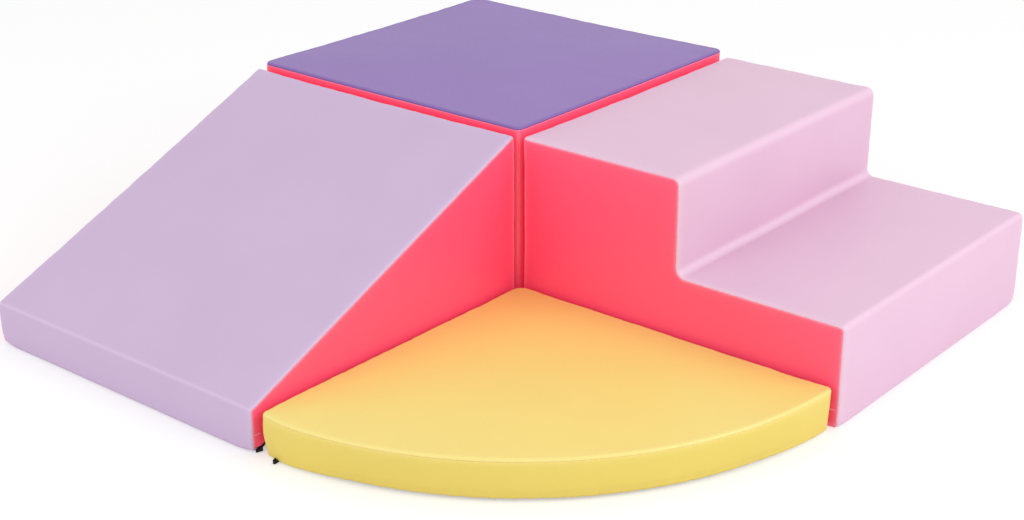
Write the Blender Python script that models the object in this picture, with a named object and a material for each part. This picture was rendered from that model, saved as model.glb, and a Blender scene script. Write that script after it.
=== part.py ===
"""Soft play corner set: a corner block, a ramp, a pair of steps and a quarter-round mat.

Each is foam in a sewn leather cover, with a black base cloth and a zip in its lower edge. Hook and loop
tapes hold the four together. Metres, +Z up. The origin is on the floor, under the middle of the set.
"""

import math
from collections import namedtuple

import bmesh
import bpy
from mathutils import Matrix, Vector

# The four pieces
BLOCK_SIDE = 0.5500
BLOCK_GAP = 0.0070
CORNER_HEIGHT = 0.3143
RAMP_LENGTH = 0.5540
RAMP_HEIGHT = 0.3083
TOE_HEIGHT = 0.0675
STEPS_LENGTH = 0.5590
STEPS_HEIGHT = 0.3026
TREAD_HEIGHT = 0.1542
TOP_TREAD_DEPTH = 0.2849
MAT_HEIGHT = 0.0650
MAT_RADIUS = 0.5510

# Rounded corners and folds
PLAN_CORNER_RADIUS = 0.0120
SEWN_EDGE_RADIUS = 0.0045
BACK_EDGE_RADIUS = 0.0050
FOOT_RADIUS = 0.0050
TOE_FOLD_RADIUS = 0.0080
TOP_NOSING_RADIUS = 0.0150
FRONT_NOSING_RADIUS = 0.0100
INNER_FOLD_RADIUS = 0.0130
MAT_CORNER_RADIUS = 0.0100
MAT_INNER_RADIUS = 0.0260

# How the foam fills the cover
TOP_CROWN = 0.0030
SIDE_CROWN = 0.0015
SEAM_DRAW = 0.0010

# Cover and base
LEATHER_THICKNESS = 0.0011
BASE_CLOTH_THICKNESS = 0.0012
BASE_CLOTH_INSET = 0.0006
SEAM_GAP = 0.0004
TOUCH = 0.0003

# Hook and loop tapes
TAPE_LENGTH = 0.3000
TAPE_HEIGHT = 0.0250
BLOCK_TAPE_CENTRE = 0.1500
MAT_TAPE_CENTRE = 0.0320
TAPE_THICKNESS = (BLOCK_GAP - 3 * TOUCH) / 2

# Zips
ZIP_BAND_HEIGHT = 0.0130
ZIP_RECESS = 0.0090
ZIP_END_MARGIN = 0.0065
MAT_ZIP_SETBACK = 0.0350
ZIP_STOP = 0.0020
ZIP_TAPE_THICKNESS = 0.0008
CHAIN_THICKNESS = 0.0014
CHAIN_WIDTH = 0.0046
SLIDER_LENGTH = 0.0110
SLIDER_PLATE = 0.0010
ARCH_HALF_LENGTH = 0.0030
ARCH_BAR = 0.0008
ARCH_WIDTH = 0.0010
PIVOT_HEIGHT = 0.0010
PULL_BAR = 0.0008
PULL_LENGTH = 0.0130
PULL_WIDTH = 0.0050
PULL_LEG = 0.0009

# Mesh density
CORNER_STEPS = 4
EDGE_STEPS = 4
ARC_STEPS = 14
EDGE_TURN_STEPS = 2
WALL_STEPS = 6
BAND_STEPS = 3
CAP_STEPS = 3
ARCH_STEPS = 8

# Finishes: sRGB colour, roughness
LAVENDER = ((0.80, 0.70, 0.83), 0.45)
PURPLE = ((0.63, 0.54, 0.75), 0.45)
CORAL = ((1.00, 0.28, 0.37), 0.45)
PALE_PINK = ((0.93, 0.76, 0.87), 0.45)
YELLOW = ((0.96, 0.85, 0.47), 0.45)
BLACK_CLOTH = ((0.05, 0.05, 0.055), 0.85)
TAPE_BLACK = ((0.09, 0.09, 0.10), 0.95)
FOAM = ((0.93, 0.93, 0.90), 0.95)
ZIP_BLACK = ((0.04, 0.04, 0.045), 0.50)

COVER_INSET = LEATHER_THICKNESS + TOUCH
PANEL_FOOT = BASE_CLOTH_THICKNESS + TOUCH
BAND_CEILING = ZIP_BAND_HEIGHT + TOUCH
QUARTER_TURN = math.pi / 2

Sample = namedtuple("Sample", "point normal swell")
Outline = namedtuple("Outline", "samples middles")
Surface = namedtuple("Surface", "point normal")


def clear_scene():
    for thing in list(bpy.data.objects):
        bpy.data.objects.remove(thing, do_unlink=True)


def linear(channel):
    """An sRGB channel as scene-linear."""
    low_limit, low_slope, lift, gamma = 0.04045, 12.92, 0.055, 2.4
    if channel <= low_limit:
        return channel / low_slope
    return ((channel + lift) / (1 + lift)) ** gamma


def material(name, finish):
    colour, roughness = finish
    made = bpy.data.materials.new(name)
    made.use_nodes = True
    shader = made.node_tree.nodes["Principled BSDF"]
    shader.inputs["Base Color"].default_value = (*[linear(c) for c in colour], 1)
    shader.inputs["Roughness"].default_value = roughness
    shader.inputs["Metallic"].default_value = 0
    return made


def empty(name, location, turn=0.0, parent=None):
    made = bpy.data.objects.new(name, None)
    bpy.context.collection.objects.link(made)
    made.parent = parent
    made.location = location
    made.rotation_euler = (0, 0, turn)
    return made


def finish_object(name, bm, parent, finish, location=(0, 0, 0)):
    """One named object with its own material, faces outward."""
    bmesh.ops.recalc_face_normals(bm, faces=bm.faces)
    if bm.calc_volume(signed=True) < 0:
        bmesh.ops.reverse_faces(bm, faces=bm.faces)
    mesh = bpy.data.meshes.new(name)
    bm.to_mesh(mesh)
    bm.free()
    mesh.shade_smooth()
    mesh.set_sharp_from_angle(angle=math.radians(35))
    made = bpy.data.objects.new(name, mesh)
    bpy.context.collection.objects.link(made)
    made.parent = parent
    made.location = location
    mesh.materials.append(material(name, finish))
    return made


# Outlines

def arc(centre, radius, start, end, steps, side=1, swell=0.0):
    """Samples along an arc. side is 1 where the arc bulges outward and -1 in an inner corner."""
    samples = []
    for step in range(steps + 1):
        share = step / steps
        angle = start + (end - start) * share
        normal = Vector((math.cos(angle), math.sin(angle)))
        rise = swell * math.sin(math.pi * share)
        samples.append(Sample(Vector(centre) + normal * radius * side, normal, rise))
    return samples


def straight(first, last, normal, swell):
    """Samples strictly between two points, swelling most half way."""
    samples = []
    for step in range(1, EDGE_STEPS):
        share = step / EDGE_STEPS
        rise = swell * math.sin(math.pi * share)
        samples.append(Sample(first.lerp(last, share), normal, rise))
    return samples


def rounded_outline(corners, radii, free):
    """A polygon, counter-clockwise, with rounded corners. free marks the edges that may swell."""
    count = len(corners)
    points = [Vector(corner) for corner in corners]
    arcs = []
    for here in range(count):
        before = (points[here] - points[here - 1]).normalized()
        after = (points[(here + 1) % count] - points[here]).normalized()
        turn = math.atan2(before.cross(after), before.dot(after))
        reach = radii[here] * math.tan(abs(turn) / 2)
        side = 1 if turn > 0 else -1
        start = math.atan2(-before.x, before.y)
        first_normal = Vector((math.cos(start), math.sin(start)))
        centre = points[here] - before * reach - first_normal * radii[here] * side
        arcs.append(arc(centre, radii[here], start, start + turn, CORNER_STEPS, side))
    samples, middles = [], []
    for here in range(count):
        middles.append(len(samples) + CORNER_STEPS // 2)
        samples += arcs[here]
        first, last = arcs[here][-1], arcs[(here + 1) % count][0]
        samples += straight(first.point, last.point, first.normal, free[here])
    return Outline(samples, middles)


def quarter_outline(radius, side_inset, back_inset, corner_radius, inner_radius, free):
    """A quarter disc with rounded corners. Its straight sides lie side_inset and back_inset in from
    the two axes, and middles holds its side corner, its back corner and its inner corner."""
    ring = radius - corner_radius
    side_rise, back_rise = side_inset + corner_radius, back_inset + corner_radius
    side_angle, back_angle = math.asin(side_rise / ring), math.asin(back_rise / ring)
    side_centre = (ring * math.cos(side_angle), side_rise)
    back_centre = (back_rise, ring * math.cos(back_angle))
    side_corner = arc(side_centre, corner_radius, -QUARTER_TURN, side_angle, CORNER_STEPS)
    back_end = QUARTER_TURN - back_angle
    back_corner = arc(back_centre, corner_radius, back_end, math.pi, CORNER_STEPS)
    front = arc((0, 0), radius, side_angle, back_end, ARC_STEPS, 1, free)[1:-1]
    inner_centre = (back_inset + inner_radius, side_inset + inner_radius)
    inner = arc(inner_centre, inner_radius, math.pi, math.pi + QUARTER_TURN, CORNER_STEPS)
    samples = side_corner + front + back_corner
    middles = [CORNER_STEPS // 2, len(samples) - 1 - CORNER_STEPS // 2]
    samples += straight(back_corner[-1].point, inner[0].point, back_corner[-1].normal, 0)
    middles.append(len(samples) + CORNER_STEPS // 2)
    samples += inner
    samples += straight(inner[-1].point, side_corner[0].point, inner[-1].normal, 0)
    return Outline(samples, middles)


# Cover surfaces

def upright(point, along):
    """An outline in plan, with the rail up the piece."""
    return Vector((point.x, point.y, along))


def crosswise(point, along):
    """An outline in profile, with the rail across the piece."""
    return Vector((point.x, along, point.y))


def wall_ring(outline, to_3d, inset, along, share, lean, facing, depth):
    """One ring of the cover's surface. lean is 0 on a wall and a quarter turn at a cap's edge."""
    ring = []
    cap_normal = to_3d(Vector((0, 0)), facing)
    for sample in outline.samples:
        swell = (SIDE_CROWN + SEAM_DRAW) * math.sin(math.pi * share) - SEAM_DRAW
        shift = sample.swell * swell * math.cos(lean) - inset
        side_normal = to_3d(sample.normal, 0)
        normal = (side_normal * math.cos(lean) + cap_normal * math.sin(lean)).normalized()
        sag = facing * SEAM_DRAW * sample.swell * math.sin(lean)
        place = to_3d(sample.point + sample.normal * shift, along - sag)
        ring.append(Surface(place - normal * depth, normal))
    return ring


def edge_turn(outline, to_3d, cap_at, facing, length, depth):
    """Rings round the sewn edge, from the wall to the cap's rim."""
    rings = []
    radius = SEWN_EDGE_RADIUS
    for step in range(EDGE_TURN_STEPS + 1):
        lean = QUARTER_TURN * step / EDGE_TURN_STEPS
        inset = radius * (1 - math.cos(lean))
        along = cap_at - facing * radius * (1 - math.sin(lean))
        share = along / length
        rings.append(wall_ring(outline, to_3d, inset, along, share, lean, facing, depth))
    return rings


def cap_rings(outline, to_3d, cap_at, facing, heart, crown):
    """Rings from a cap's rim to its heart, rising to the crown."""
    rings = []
    cap_normal = to_3d(Vector((0, 0)), facing)
    for step in range(CAP_STEPS):
        share = 1 - step / CAP_STEPS
        ring = []
        for sample in outline.samples:
            rim = sample.point - sample.normal * SEWN_EDGE_RADIUS
            rise = crown * (1 - share ** 2) - SEAM_DRAW * sample.swell * share ** 2
            ring.append(Surface(to_3d(heart.lerp(rim, share), cap_at + facing * rise), cap_normal))
        rings.append(ring)
    rings.append([Surface(to_3d(heart, cap_at + facing * crown), cap_normal)])
    return rings


def trimmed_row(row, other):
    """A row moved towards the next one by half a seam gap."""
    moved = []
    for near, far in zip(row, other if len(other) > 1 else other * len(row)):
        step = (far.point - near.point).normalized() * SEAM_GAP / 2
        moved.append(Surface(near.point + step, near.normal))
    return moved


def trimmed(grid, ring):
    """A grid of surface points drawn back by half a seam gap along each sewn edge."""
    rows = [trimmed_row(grid[0], grid[1])] + grid[1:]
    if len(grid[-1]) > 1:
        rows[-1] = trimmed_row(grid[-1], grid[-2])
    if ring:
        return rows
    columns = [list(column) for column in zip(*rows)]
    columns[0] = trimmed_row(columns[0], columns[1])
    columns[-1] = trimmed_row(columns[-1], columns[-2])
    return [list(row) for row in zip(*columns)]


def join_rows(bm, first, second, ring):
    """Faces between two rows of vertices. A row of one vertex is a ring's heart."""
    count = len(first)
    for here in range(count if ring else count - 1):
        after = (here + 1) % count
        if len(second) == 1:
            bm.faces.new((first[here], first[after], second[0]))
        else:
            bm.faces.new((first[here], first[after], second[after], second[here]))


def skin(name, grid, ring, parent, finish):
    """A sewn leather panel: the trimmed grid, thickened inward."""
    grid = trimmed(grid, ring)
    bm = bmesh.new()
    outer = [[bm.verts.new(s.point) for s in row] for row in grid]
    inner = [[bm.verts.new(s.point - s.normal * LEATHER_THICKNESS) for s in row] for row in grid]
    for side in (outer, inner):
        for first, second in zip(side, side[1:]):
            join_rows(bm, first, second, ring)
    join_rows(bm, outer[0], inner[0], ring)
    if len(grid[-1]) > 1:
        join_rows(bm, outer[-1], inner[-1], ring)
    if not ring:
        for column in (0, -1):
            left = [row[column] for row in outer]
            right = [row[column] for row in inner]
            join_rows(bm, left, right, False)
    return finish_object(name, bm, parent, finish)


def solid_of_rings(name, rings, parent, finish):
    """A closed body through rings of points, with flat or pointed ends."""
    bm = bmesh.new()
    made = [[bm.verts.new(point) for point in ring] for ring in rings]
    for first, second in zip(made, made[1:]):
        if len(first) == 1:
            join_rows(bm, second, first, True)
        else:
            join_rows(bm, first, second, True)
    for end in (made[0], made[-1]):
        if len(end) > 1:
            bm.faces.new(end)
    return finish_object(name, bm, parent, finish)


def plate(name, outline, low, high, parent, finish):
    """An upright slab on an outline."""
    rings = [[upright(sample.point, at) for sample in outline.samples] for at in (low, high)]
    return solid_of_rings(name, rings, parent, finish)


def box(name, low, high, parent, finish):
    """A plain box between two corners."""
    bm = bmesh.new()
    bmesh.ops.create_cube(bm, size=1)
    size = Vector(high) - Vector(low)
    middle = (Vector(high) + Vector(low)) / 2
    bmesh.ops.transform(bm, matrix=Matrix.Diagonal((*size, 1)), verts=bm.verts)
    return finish_object(name, bm, parent, finish, middle)


def prism(points, axis_high, axis_low, to_3d):
    """A mesh of a polygon drawn out between two places on the axis."""
    bm = bmesh.new()
    ends = [[bm.verts.new(to_3d(Vector(p), at)) for p in points] for at in (axis_low, axis_high)]
    join_rows(bm, ends[0], ends[1], True)
    bm.faces.new(ends[0])
    bm.faces.new(ends[1])
    return bm


def part_ring(rings, first, last):
    """The columns from one sample to another, going round past the start where needed."""
    count = len(rings[0])
    span = (last - first) % count
    return [[row[(first + step) % count] for step in range(span + 1)] for row in rings]


# Pieces built upright: corner block and mat

def upright_cover(outline, height, foot, heart):
    """Rings of walls and of the top with its sewn edge."""
    seam_at = height - SEWN_EDGE_RADIUS
    walls = []
    for step in range(BAND_STEPS + 1):
        along = foot + (seam_at - foot) * step / BAND_STEPS
        share = along / height
        walls.append(wall_ring(outline, upright, 0, along, share, 0, 1, 0))
    top = edge_turn(outline, upright, height, 1, height, 0)
    top += cap_rings(outline, upright, height, 1, heart, TOP_CROWN)[1:]
    return walls, top


def upright_core(name, outline, height, parent):
    """The foam under an upright cover, clear of its drawn-in seams."""
    rings = [wall_ring(outline, upright, 0, ZIP_BAND_HEIGHT, 0, 0, 1, COVER_INSET)]
    rings += edge_turn(outline, upright, height - SEAM_DRAW, 1, height, COVER_INSET)
    points = [[surface.point for surface in ring] for ring in rings]
    return solid_of_rings(name, points, parent, FOAM)


def build_corner(whole):
    side = BLOCK_SIDE
    block = empty("corner_block", (-BLOCK_GAP / 2 - side, BLOCK_GAP / 2, 0), 0, whole)
    corners = [(0, 0), (side, 0), (side, side), (0, side)]
    radii = [PLAN_CORNER_RADIUS] * 4
    outline = rounded_outline(corners, radii, (0, 0, 1, 1))
    heart = Vector((side, side)) / 2
    walls, top = upright_cover(outline, CORNER_HEIGHT, PANEL_FOOT, heart)
    raised, _ = upright_cover(outline, CORNER_HEIGHT, BAND_CEILING, heart)
    skin("corner_top_panel", top, True, block, PURPLE)
    sides = ("corner_side_to_ramp", "corner_side_to_steps", "corner_side_back", "corner_side_left")
    for number, name in enumerate(sides):
        rings = raised if name == "corner_side_back" else walls
        first, last = outline.middles[number], outline.middles[(number + 1) % 4]
        skin(name, part_ring(rings, first, last), False, block, CORAL)
    near, far = SEAM_DRAW, side - SEAM_DRAW
    foam = rounded_outline([(near, 0), (side, 0), (side, far), (near, far)], radii, (0, 0, 0, 0))
    upright_core("corner_foam_core", foam, CORNER_HEIGHT, block)
    build_base("corner", block, side)
    proud = TOUCH + TAPE_THICKNESS / 2
    hook_tape("corner_loop_tape_to_ramp", block, (side / 2, -proud), False)
    hook_tape("corner_loop_tape_to_steps", block, (side + proud, side / 2), True)
    build_block_zip("corner", block, side)


def build_mat(whole):
    mat = empty("mat", (BLOCK_GAP / 2, -BLOCK_GAP / 2, 0), -QUARTER_TURN, whole)
    outline = quarter_outline(MAT_RADIUS, 0, 0, MAT_CORNER_RADIUS, MAT_INNER_RADIUS, 1)
    heart_share = 0.45
    heart = Vector((MAT_RADIUS, MAT_RADIUS)) * heart_share
    walls, top = upright_cover(outline, MAT_HEIGHT, PANEL_FOOT, heart)
    raised, _ = upright_cover(outline, MAT_HEIGHT, BAND_CEILING, heart)
    side_corner, back_corner, inner_corner = outline.middles
    skin("mat_top_panel", top, True, mat, YELLOW)
    skin("mat_arc_band", part_ring(walls, side_corner, back_corner), False, mat, YELLOW)
    skin("mat_band_to_steps", part_ring(walls, back_corner, inner_corner), False, mat, YELLOW)
    skin("mat_band_to_ramp", part_ring(raised, inner_corner, side_corner), False, mat, YELLOW)
    foam = quarter_outline(MAT_RADIUS - SEAM_DRAW, 0, 0, MAT_CORNER_RADIUS, MAT_INNER_RADIUS, 0)
    upright_core("mat_foam_core", foam, MAT_HEIGHT, mat)
    layer_inset = COVER_INSET + SEAM_DRAW
    layer = quarter_outline(
        MAT_RADIUS - layer_inset, ZIP_RECESS, layer_inset, MAT_CORNER_RADIUS, MAT_INNER_RADIUS, 0
    )
    layer_top = ZIP_BAND_HEIGHT - TOUCH
    plate("mat_foam_base_layer", layer, PANEL_FOOT, layer_top, mat, FOAM)
    cloth_inset = BASE_CLOTH_INSET + SEAM_DRAW
    cloth = quarter_outline(
        MAT_RADIUS - cloth_inset, ZIP_RECESS, cloth_inset, MAT_CORNER_RADIUS, MAT_INNER_RADIUS, 0
    )
    plate("mat_base_cloth", cloth, 0, BASE_CLOTH_THICKNESS, mat, BLACK_CLOTH)
    along, proud, low = MAT_RADIUS / 2, TOUCH + TAPE_THICKNESS / 2, MAT_TAPE_CENTRE
    hook_tape("mat_hook_tape_to_ramp", mat, (along, -proud), False, low)
    hook_tape("mat_hook_tape_to_steps", mat, (-proud, along), True, low)

    # The run ends further in than the ramp's, so that the two pulls swing clear of each other.
    run_start, run_end = MAT_INNER_RADIUS, MAT_RADIUS - MAT_ZIP_SETBACK
    middle = Vector(((run_start + run_end) / 2, ZIP_RECESS, 0))
    build_zip("mat", mat, middle, math.pi, (run_end - run_start) / 2)


# Pieces built in profile: ramp and steps

def crosswise_cover(outline):
    """Rings of the wrap and of the back, over the whole width, with both sewn edges."""
    width, radius = BLOCK_SIDE, SEWN_EDGE_RADIUS
    low = edge_turn(outline, crosswise, 0, -1, width, 0)
    high = edge_turn(outline, crosswise, width, 1, width, 0)
    rings = low[::-1]
    for step in range(1, WALL_STEPS):
        share = step / WALL_STEPS
        along = radius + (width - 2 * radius) * share
        rings.append(wall_ring(outline, crosswise, 0, along, share, 0, 1, 0))
    return rings + high


def side_panel(name, outline, heart, at_high_side, flat, parent):
    facing, cap_at = (1, BLOCK_SIDE) if at_high_side else (-1, 0)
    crown = 0 if flat else SIDE_CROWN
    rings = cap_rings(outline, crosswise, cap_at, facing, heart, crown)
    return skin(name, rings, True, parent, CORAL)


def profile_core(name, outline, parent):
    """The foam under a wrap, drawn out across the piece."""
    width = BLOCK_SIDE
    low = edge_turn(outline, crosswise, SEAM_DRAW, -1, width, COVER_INSET)
    high = edge_turn(outline, crosswise, width - SEAM_DRAW, 1, width, COVER_INSET)
    rings = low[::-1] + high
    points = [[surface.point for surface in ring] for ring in rings]
    return solid_of_rings(name, points, parent, FOAM)


def build_base(name, parent, length):
    """The base cloth and the foam's lowest layer of a block, set back along the zip."""
    top, back = ZIP_BAND_HEIGHT - TOUCH, BLOCK_SIDE - ZIP_RECESS
    layers = (
        ("foam_base_layer", COVER_INSET + SEAM_DRAW, PANEL_FOOT, top, FOAM),
        ("base_cloth", BASE_CLOTH_INSET + SEAM_DRAW, 0, BASE_CLOTH_THICKNESS, BLACK_CLOTH),
    )
    for layer, inset, low, high, finish in layers:
        near, far = inset, length - inset
        corners = [(near, near), (far, near), (far, back), (near, back)]
        outline = rounded_outline(corners, [PLAN_CORNER_RADIUS] * 4, (0, 0, 0, 0))
        plate(f"{name}_{layer}", outline, low, high, parent, finish)


def hook_tape(name, parent, place, turned, centre=BLOCK_TAPE_CENTRE):
    """A flat tape, flush on a face that meets a neighbour. place is its middle in plan."""
    half = Vector((TAPE_LENGTH, TAPE_THICKNESS, TAPE_HEIGHT)) / 2
    if turned:
        half = Vector((half.y, half.x, half.z))
    middle = Vector((*place, centre))
    return box(name, middle - half, middle + half, parent, TAPE_BLACK)


def ramp_outline(foot):
    corners = [(0, foot), (RAMP_LENGTH, foot), (RAMP_LENGTH, TOE_HEIGHT), (0, RAMP_HEIGHT)]
    radii = [FOOT_RADIUS, FOOT_RADIUS, TOE_FOLD_RADIUS, BACK_EDGE_RADIUS]
    return rounded_outline(corners, radii, (0, 1, 1, 0))


def steps_outline(foot):
    front, depth = STEPS_LENGTH, TOP_TREAD_DEPTH
    corners = [
        (0, foot), (front, foot), (front, TREAD_HEIGHT),
        (depth, TREAD_HEIGHT), (depth, STEPS_HEIGHT), (0, STEPS_HEIGHT),
    ]
    radii = [
        FOOT_RADIUS, FOOT_RADIUS, FRONT_NOSING_RADIUS,
        INNER_FOLD_RADIUS, TOP_NOSING_RADIUS, BACK_EDGE_RADIUS,
    ]
    return rounded_outline(corners, radii, (0, 1, 1, 1, 1, 0))


def build_profile_block(name, block, length, outline_at, heart, wrap, zip_is_inner):
    """The cover, the base, the tapes and the zip that the ramp and the steps have alike. wrap is the
    name and the finish of the main panel. The zip is on the high side, which is the inner side of the
    ramp and the back of the steps."""
    wrap_name, wrap_finish = wrap
    outline = outline_at(PANEL_FOOT)
    rings = crosswise_cover(outline)
    front_foot, back_top, back_foot = outline.middles[1], outline.middles[-1], outline.middles[0]
    skin(wrap_name, part_ring(rings, front_foot, back_top), False, block, wrap_finish)
    skin(f"{name}_back_panel", part_ring(rings, back_top, back_foot), False, block, CORAL)

    # A side panel has no folded edge at its foot, so its outline starts lower by that much.
    plain = outline_at(PANEL_FOOT - SEWN_EDGE_RADIUS)
    raised = outline_at(BAND_CEILING - SEWN_EDGE_RADIUS)
    inner, outer = f"{name}_side_inner", f"{name}_side_outer"
    high_name, low_name = (inner, outer) if zip_is_inner else (outer, inner)
    side_panel(high_name, raised, heart, True, zip_is_inner, block)
    side_panel(low_name, plain, heart, False, not zip_is_inner, block)
    build_base(name, block, length)
    proud = TOUCH + TAPE_THICKNESS / 2
    hook_tape(f"{name}_hook_tape_to_corner", block, (-proud, BLOCK_SIDE / 2), True)
    place = (MAT_RADIUS / 2, BLOCK_SIDE + proud if zip_is_inner else -proud)
    hook_tape(f"{name}_loop_tape_to_mat", block, place, False, MAT_TAPE_CENTRE)
    build_block_zip(name, block, length)


def build_ramp(whole):
    half_gap = BLOCK_GAP / 2
    block = empty("ramp", (-half_gap - BLOCK_SIDE, -half_gap, 0), -QUARTER_TURN, whole)
    heart = Vector((RAMP_LENGTH, TOE_HEIGHT + RAMP_HEIGHT)) / 3
    wrap = ("ramp_slope_panel", LAVENDER)
    build_profile_block("ramp", block, RAMP_LENGTH, ramp_outline, heart, wrap, True)
    foot, front = ZIP_BAND_HEIGHT - COVER_INSET, RAMP_LENGTH - SEAM_DRAW
    toe, top = TOE_HEIGHT - SEAM_DRAW, RAMP_HEIGHT - SEAM_DRAW
    radii = [FOOT_RADIUS, FOOT_RADIUS, TOE_FOLD_RADIUS, BACK_EDGE_RADIUS]
    foam = rounded_outline([(0, foot), (front, foot), (front, toe), (0, top)], radii, (0, 0, 0, 0))
    profile_core("ramp_foam_core", foam, block)


def build_steps(whole):
    half_gap = BLOCK_GAP / 2
    block = empty("steps", (half_gap, half_gap, 0), 0, whole)
    heart = Vector((TOP_TREAD_DEPTH, TREAD_HEIGHT)) / 2
    wrap = ("steps_tread_wrap", PALE_PINK)
    build_profile_block("steps", block, STEPS_LENGTH, steps_outline, heart, wrap, False)
    front, depth = STEPS_LENGTH - SEAM_DRAW, TOP_TREAD_DEPTH - SEAM_DRAW
    foot, top = ZIP_BAND_HEIGHT - COVER_INSET, STEPS_HEIGHT - SEAM_DRAW
    split = TREAD_HEIGHT - SEAM_DRAW
    low_corners = [(0, foot), (front, foot), (front, split), (0, split)]
    low_radii = [FOOT_RADIUS, FOOT_RADIUS, FRONT_NOSING_RADIUS, FOOT_RADIUS]
    lower = rounded_outline(low_corners, low_radii, (0, 0, 0, 0))
    profile_core("steps_lower_foam", lower, block)

    # Both foams are drawn inward by the cover's inset, which would open a gap between them.
    seat = split - 2 * COVER_INSET + TOUCH
    high_corners = [(0, seat), (depth, seat), (depth, top), (0, top)]
    high_radii = [FOOT_RADIUS, FOOT_RADIUS, TOP_NOSING_RADIUS, BACK_EDGE_RADIUS]
    upper = rounded_outline(high_corners, high_radii, (0, 0, 0, 0))
    profile_core("steps_upper_foam", upper, block)


# Zips

def channel_points():
    """The slider's section: a plate over the chain and two flanges beside it, seen along the chain."""
    tape_front = TOUCH + ZIP_TAPE_THICKNESS
    chain_top = tape_front + TOUCH + CHAIN_THICKNESS
    back, under, face = tape_front + TOUCH, chain_top + TOUCH, chain_top + TOUCH + SLIDER_PLATE
    inner = CHAIN_WIDTH / 2 + TOUCH
    outer = inner + SLIDER_PLATE
    half = [(face, outer), (back, outer), (back, inner), (under, inner)]
    return half + [(depth, -height) for depth, height in half[::-1]], face


def arch_points(face):
    """The slider's arch, seen from its side: an outer curve and, back along it, an inner one."""
    pivot = face + PIVOT_HEIGHT
    outer_rise = PIVOT_HEIGHT + ARCH_BAR
    curve = [math.pi * step / ARCH_STEPS for step in range(ARCH_STEPS + 1)]
    inner_half = ARCH_HALF_LENGTH - ARCH_BAR
    sunk = face - SLIDER_PLATE / 2
    outer = [(ARCH_HALF_LENGTH * math.cos(a), pivot + outer_rise * math.sin(a)) for a in curve]
    inner = [(inner_half * math.cos(a), pivot + PIVOT_HEIGHT * math.sin(a)) for a in curve]
    outer = [(outer[0][0], sunk)] + outer + [(outer[-1][0], sunk)]
    inner = [(inner[0][0], sunk)] + inner + [(inner[-1][0], sunk)]
    return outer + inner[::-1]


def hidden(thing):
    thing.hide_render = True
    thing.display_type = "WIRE"
    return thing


def combine(thing, other, operation):
    cut = thing.modifiers.new(operation.lower(), "BOOLEAN")
    cut.operation = operation
    cut.solver = "EXACT"
    cut.object = hidden(other)


def along_chain(point, along):
    """A section seen along the chain: depth out of the tape, then height."""
    return Vector((along, point.x, point.y))


def from_above(point, height):
    """A shape seen from above the zip: length along the chain, then depth."""
    return Vector((point.x, point.y, height))


def build_block_zip(name, block, length):
    """The zip along a block's high side."""
    middle = Vector((length / 2, BLOCK_SIDE - ZIP_RECESS, 0))
    build_zip(name, block, middle, 0, length / 2 - PLAN_CORNER_RADIUS)


def build_zip(name, block, middle, turn, half_run):
    """A zip in the lower edge of a cover. middle is half way along it, on the recess's back face."""
    frame = empty(f"{name}_zip", middle, turn, block)
    half_length = half_run - ZIP_END_MARGIN
    height = (PANEL_FOOT + ZIP_BAND_HEIGHT - TOUCH) / 2
    tape_front = TOUCH + ZIP_TAPE_THICKNESS
    low, high = (-half_length, TOUCH, PANEL_FOOT), (half_length, tape_front, ZIP_BAND_HEIGHT - TOUCH)
    box(f"{name}_zip_tape", low, high, frame, ZIP_BLACK)
    chain_low = (-half_length, tape_front + TOUCH, height - CHAIN_WIDTH / 2)
    chain_top = tape_front + TOUCH + CHAIN_THICKNESS
    chain_high = (half_length, chain_top, height + CHAIN_WIDTH / 2)
    box(f"{name}_zip_chain", chain_low, chain_high, frame, ZIP_BLACK)

    # The slider waits at one end, which is the front one on the ramp and the mat. Its pull points there.
    end = -1 if turn else 1
    half_slider = SLIDER_LENGTH / 2
    parked = end * (half_length - ZIP_STOP - half_slider)
    section, face = channel_points()
    body = prism(section, half_slider, -half_slider, along_chain)
    slider = finish_object(f"{name}_zip_slider", body, frame, ZIP_BLACK, (parked, 0, height))
    arch = prism(arch_points(face), ARCH_WIDTH / 2, -ARCH_WIDTH / 2, from_above)
    arch_tool = finish_object(f"{name}_arch_tool", arch, slider, ZIP_BLACK)
    combine(slider, arch_tool, "UNION")

    pivot = (0, face + PIVOT_HEIGHT, 0)
    build_pull(name, slider, pivot, end)


def build_pull(name, slider, pivot, end):
    """The pull: a tab with a window, whose end bar turns under the slider's arch."""
    window = ARCH_HALF_LENGTH + TOUCH
    window_half = ARCH_WIDTH / 2 + TOUCH
    neck_half = window_half + PULL_LEG
    bar_half = PULL_BAR / 2
    neck_end = window + PULL_BAR
    tab_half = max(PULL_WIDTH / 2, neck_half)
    near, far = neck_end + PULL_BAR, PULL_LENGTH - PULL_BAR
    half = [(-bar_half, neck_half), (neck_end, neck_half), (near, tab_half), (far, tab_half)]
    half.append((PULL_LENGTH, tab_half - PULL_BAR))
    points = half + [(x, -z) for x, z in half[::-1]]
    flat = prism([(end * x, z) for x, z in points], bar_half, -bar_half, crosswise)
    pull = finish_object(f"{name}_zip_pull", flat, slider, ZIP_BLACK, pivot)
    opening = [(bar_half, window_half), (window, window_half)]
    opening += [(x, -z) for x, z in opening[::-1]]
    hole = prism([(end * x, z) for x, z in opening], PULL_BAR, -PULL_BAR, crosswise)
    combine(pull, finish_object(f"{name}_window_tool", hole, pull, ZIP_BLACK), "DIFFERENCE")


def main():
    """The four pieces, under one empty that puts the middle of the set's plan at the origin."""
    clear_scene()
    shift = Vector((BLOCK_SIDE - STEPS_LENGTH, RAMP_LENGTH - BLOCK_SIDE, 0)) / 2
    whole = empty("whole_set", shift)
    build_corner(whole)
    build_ramp(whole)
    build_steps(whole)
    build_mat(whole)


main()
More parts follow.
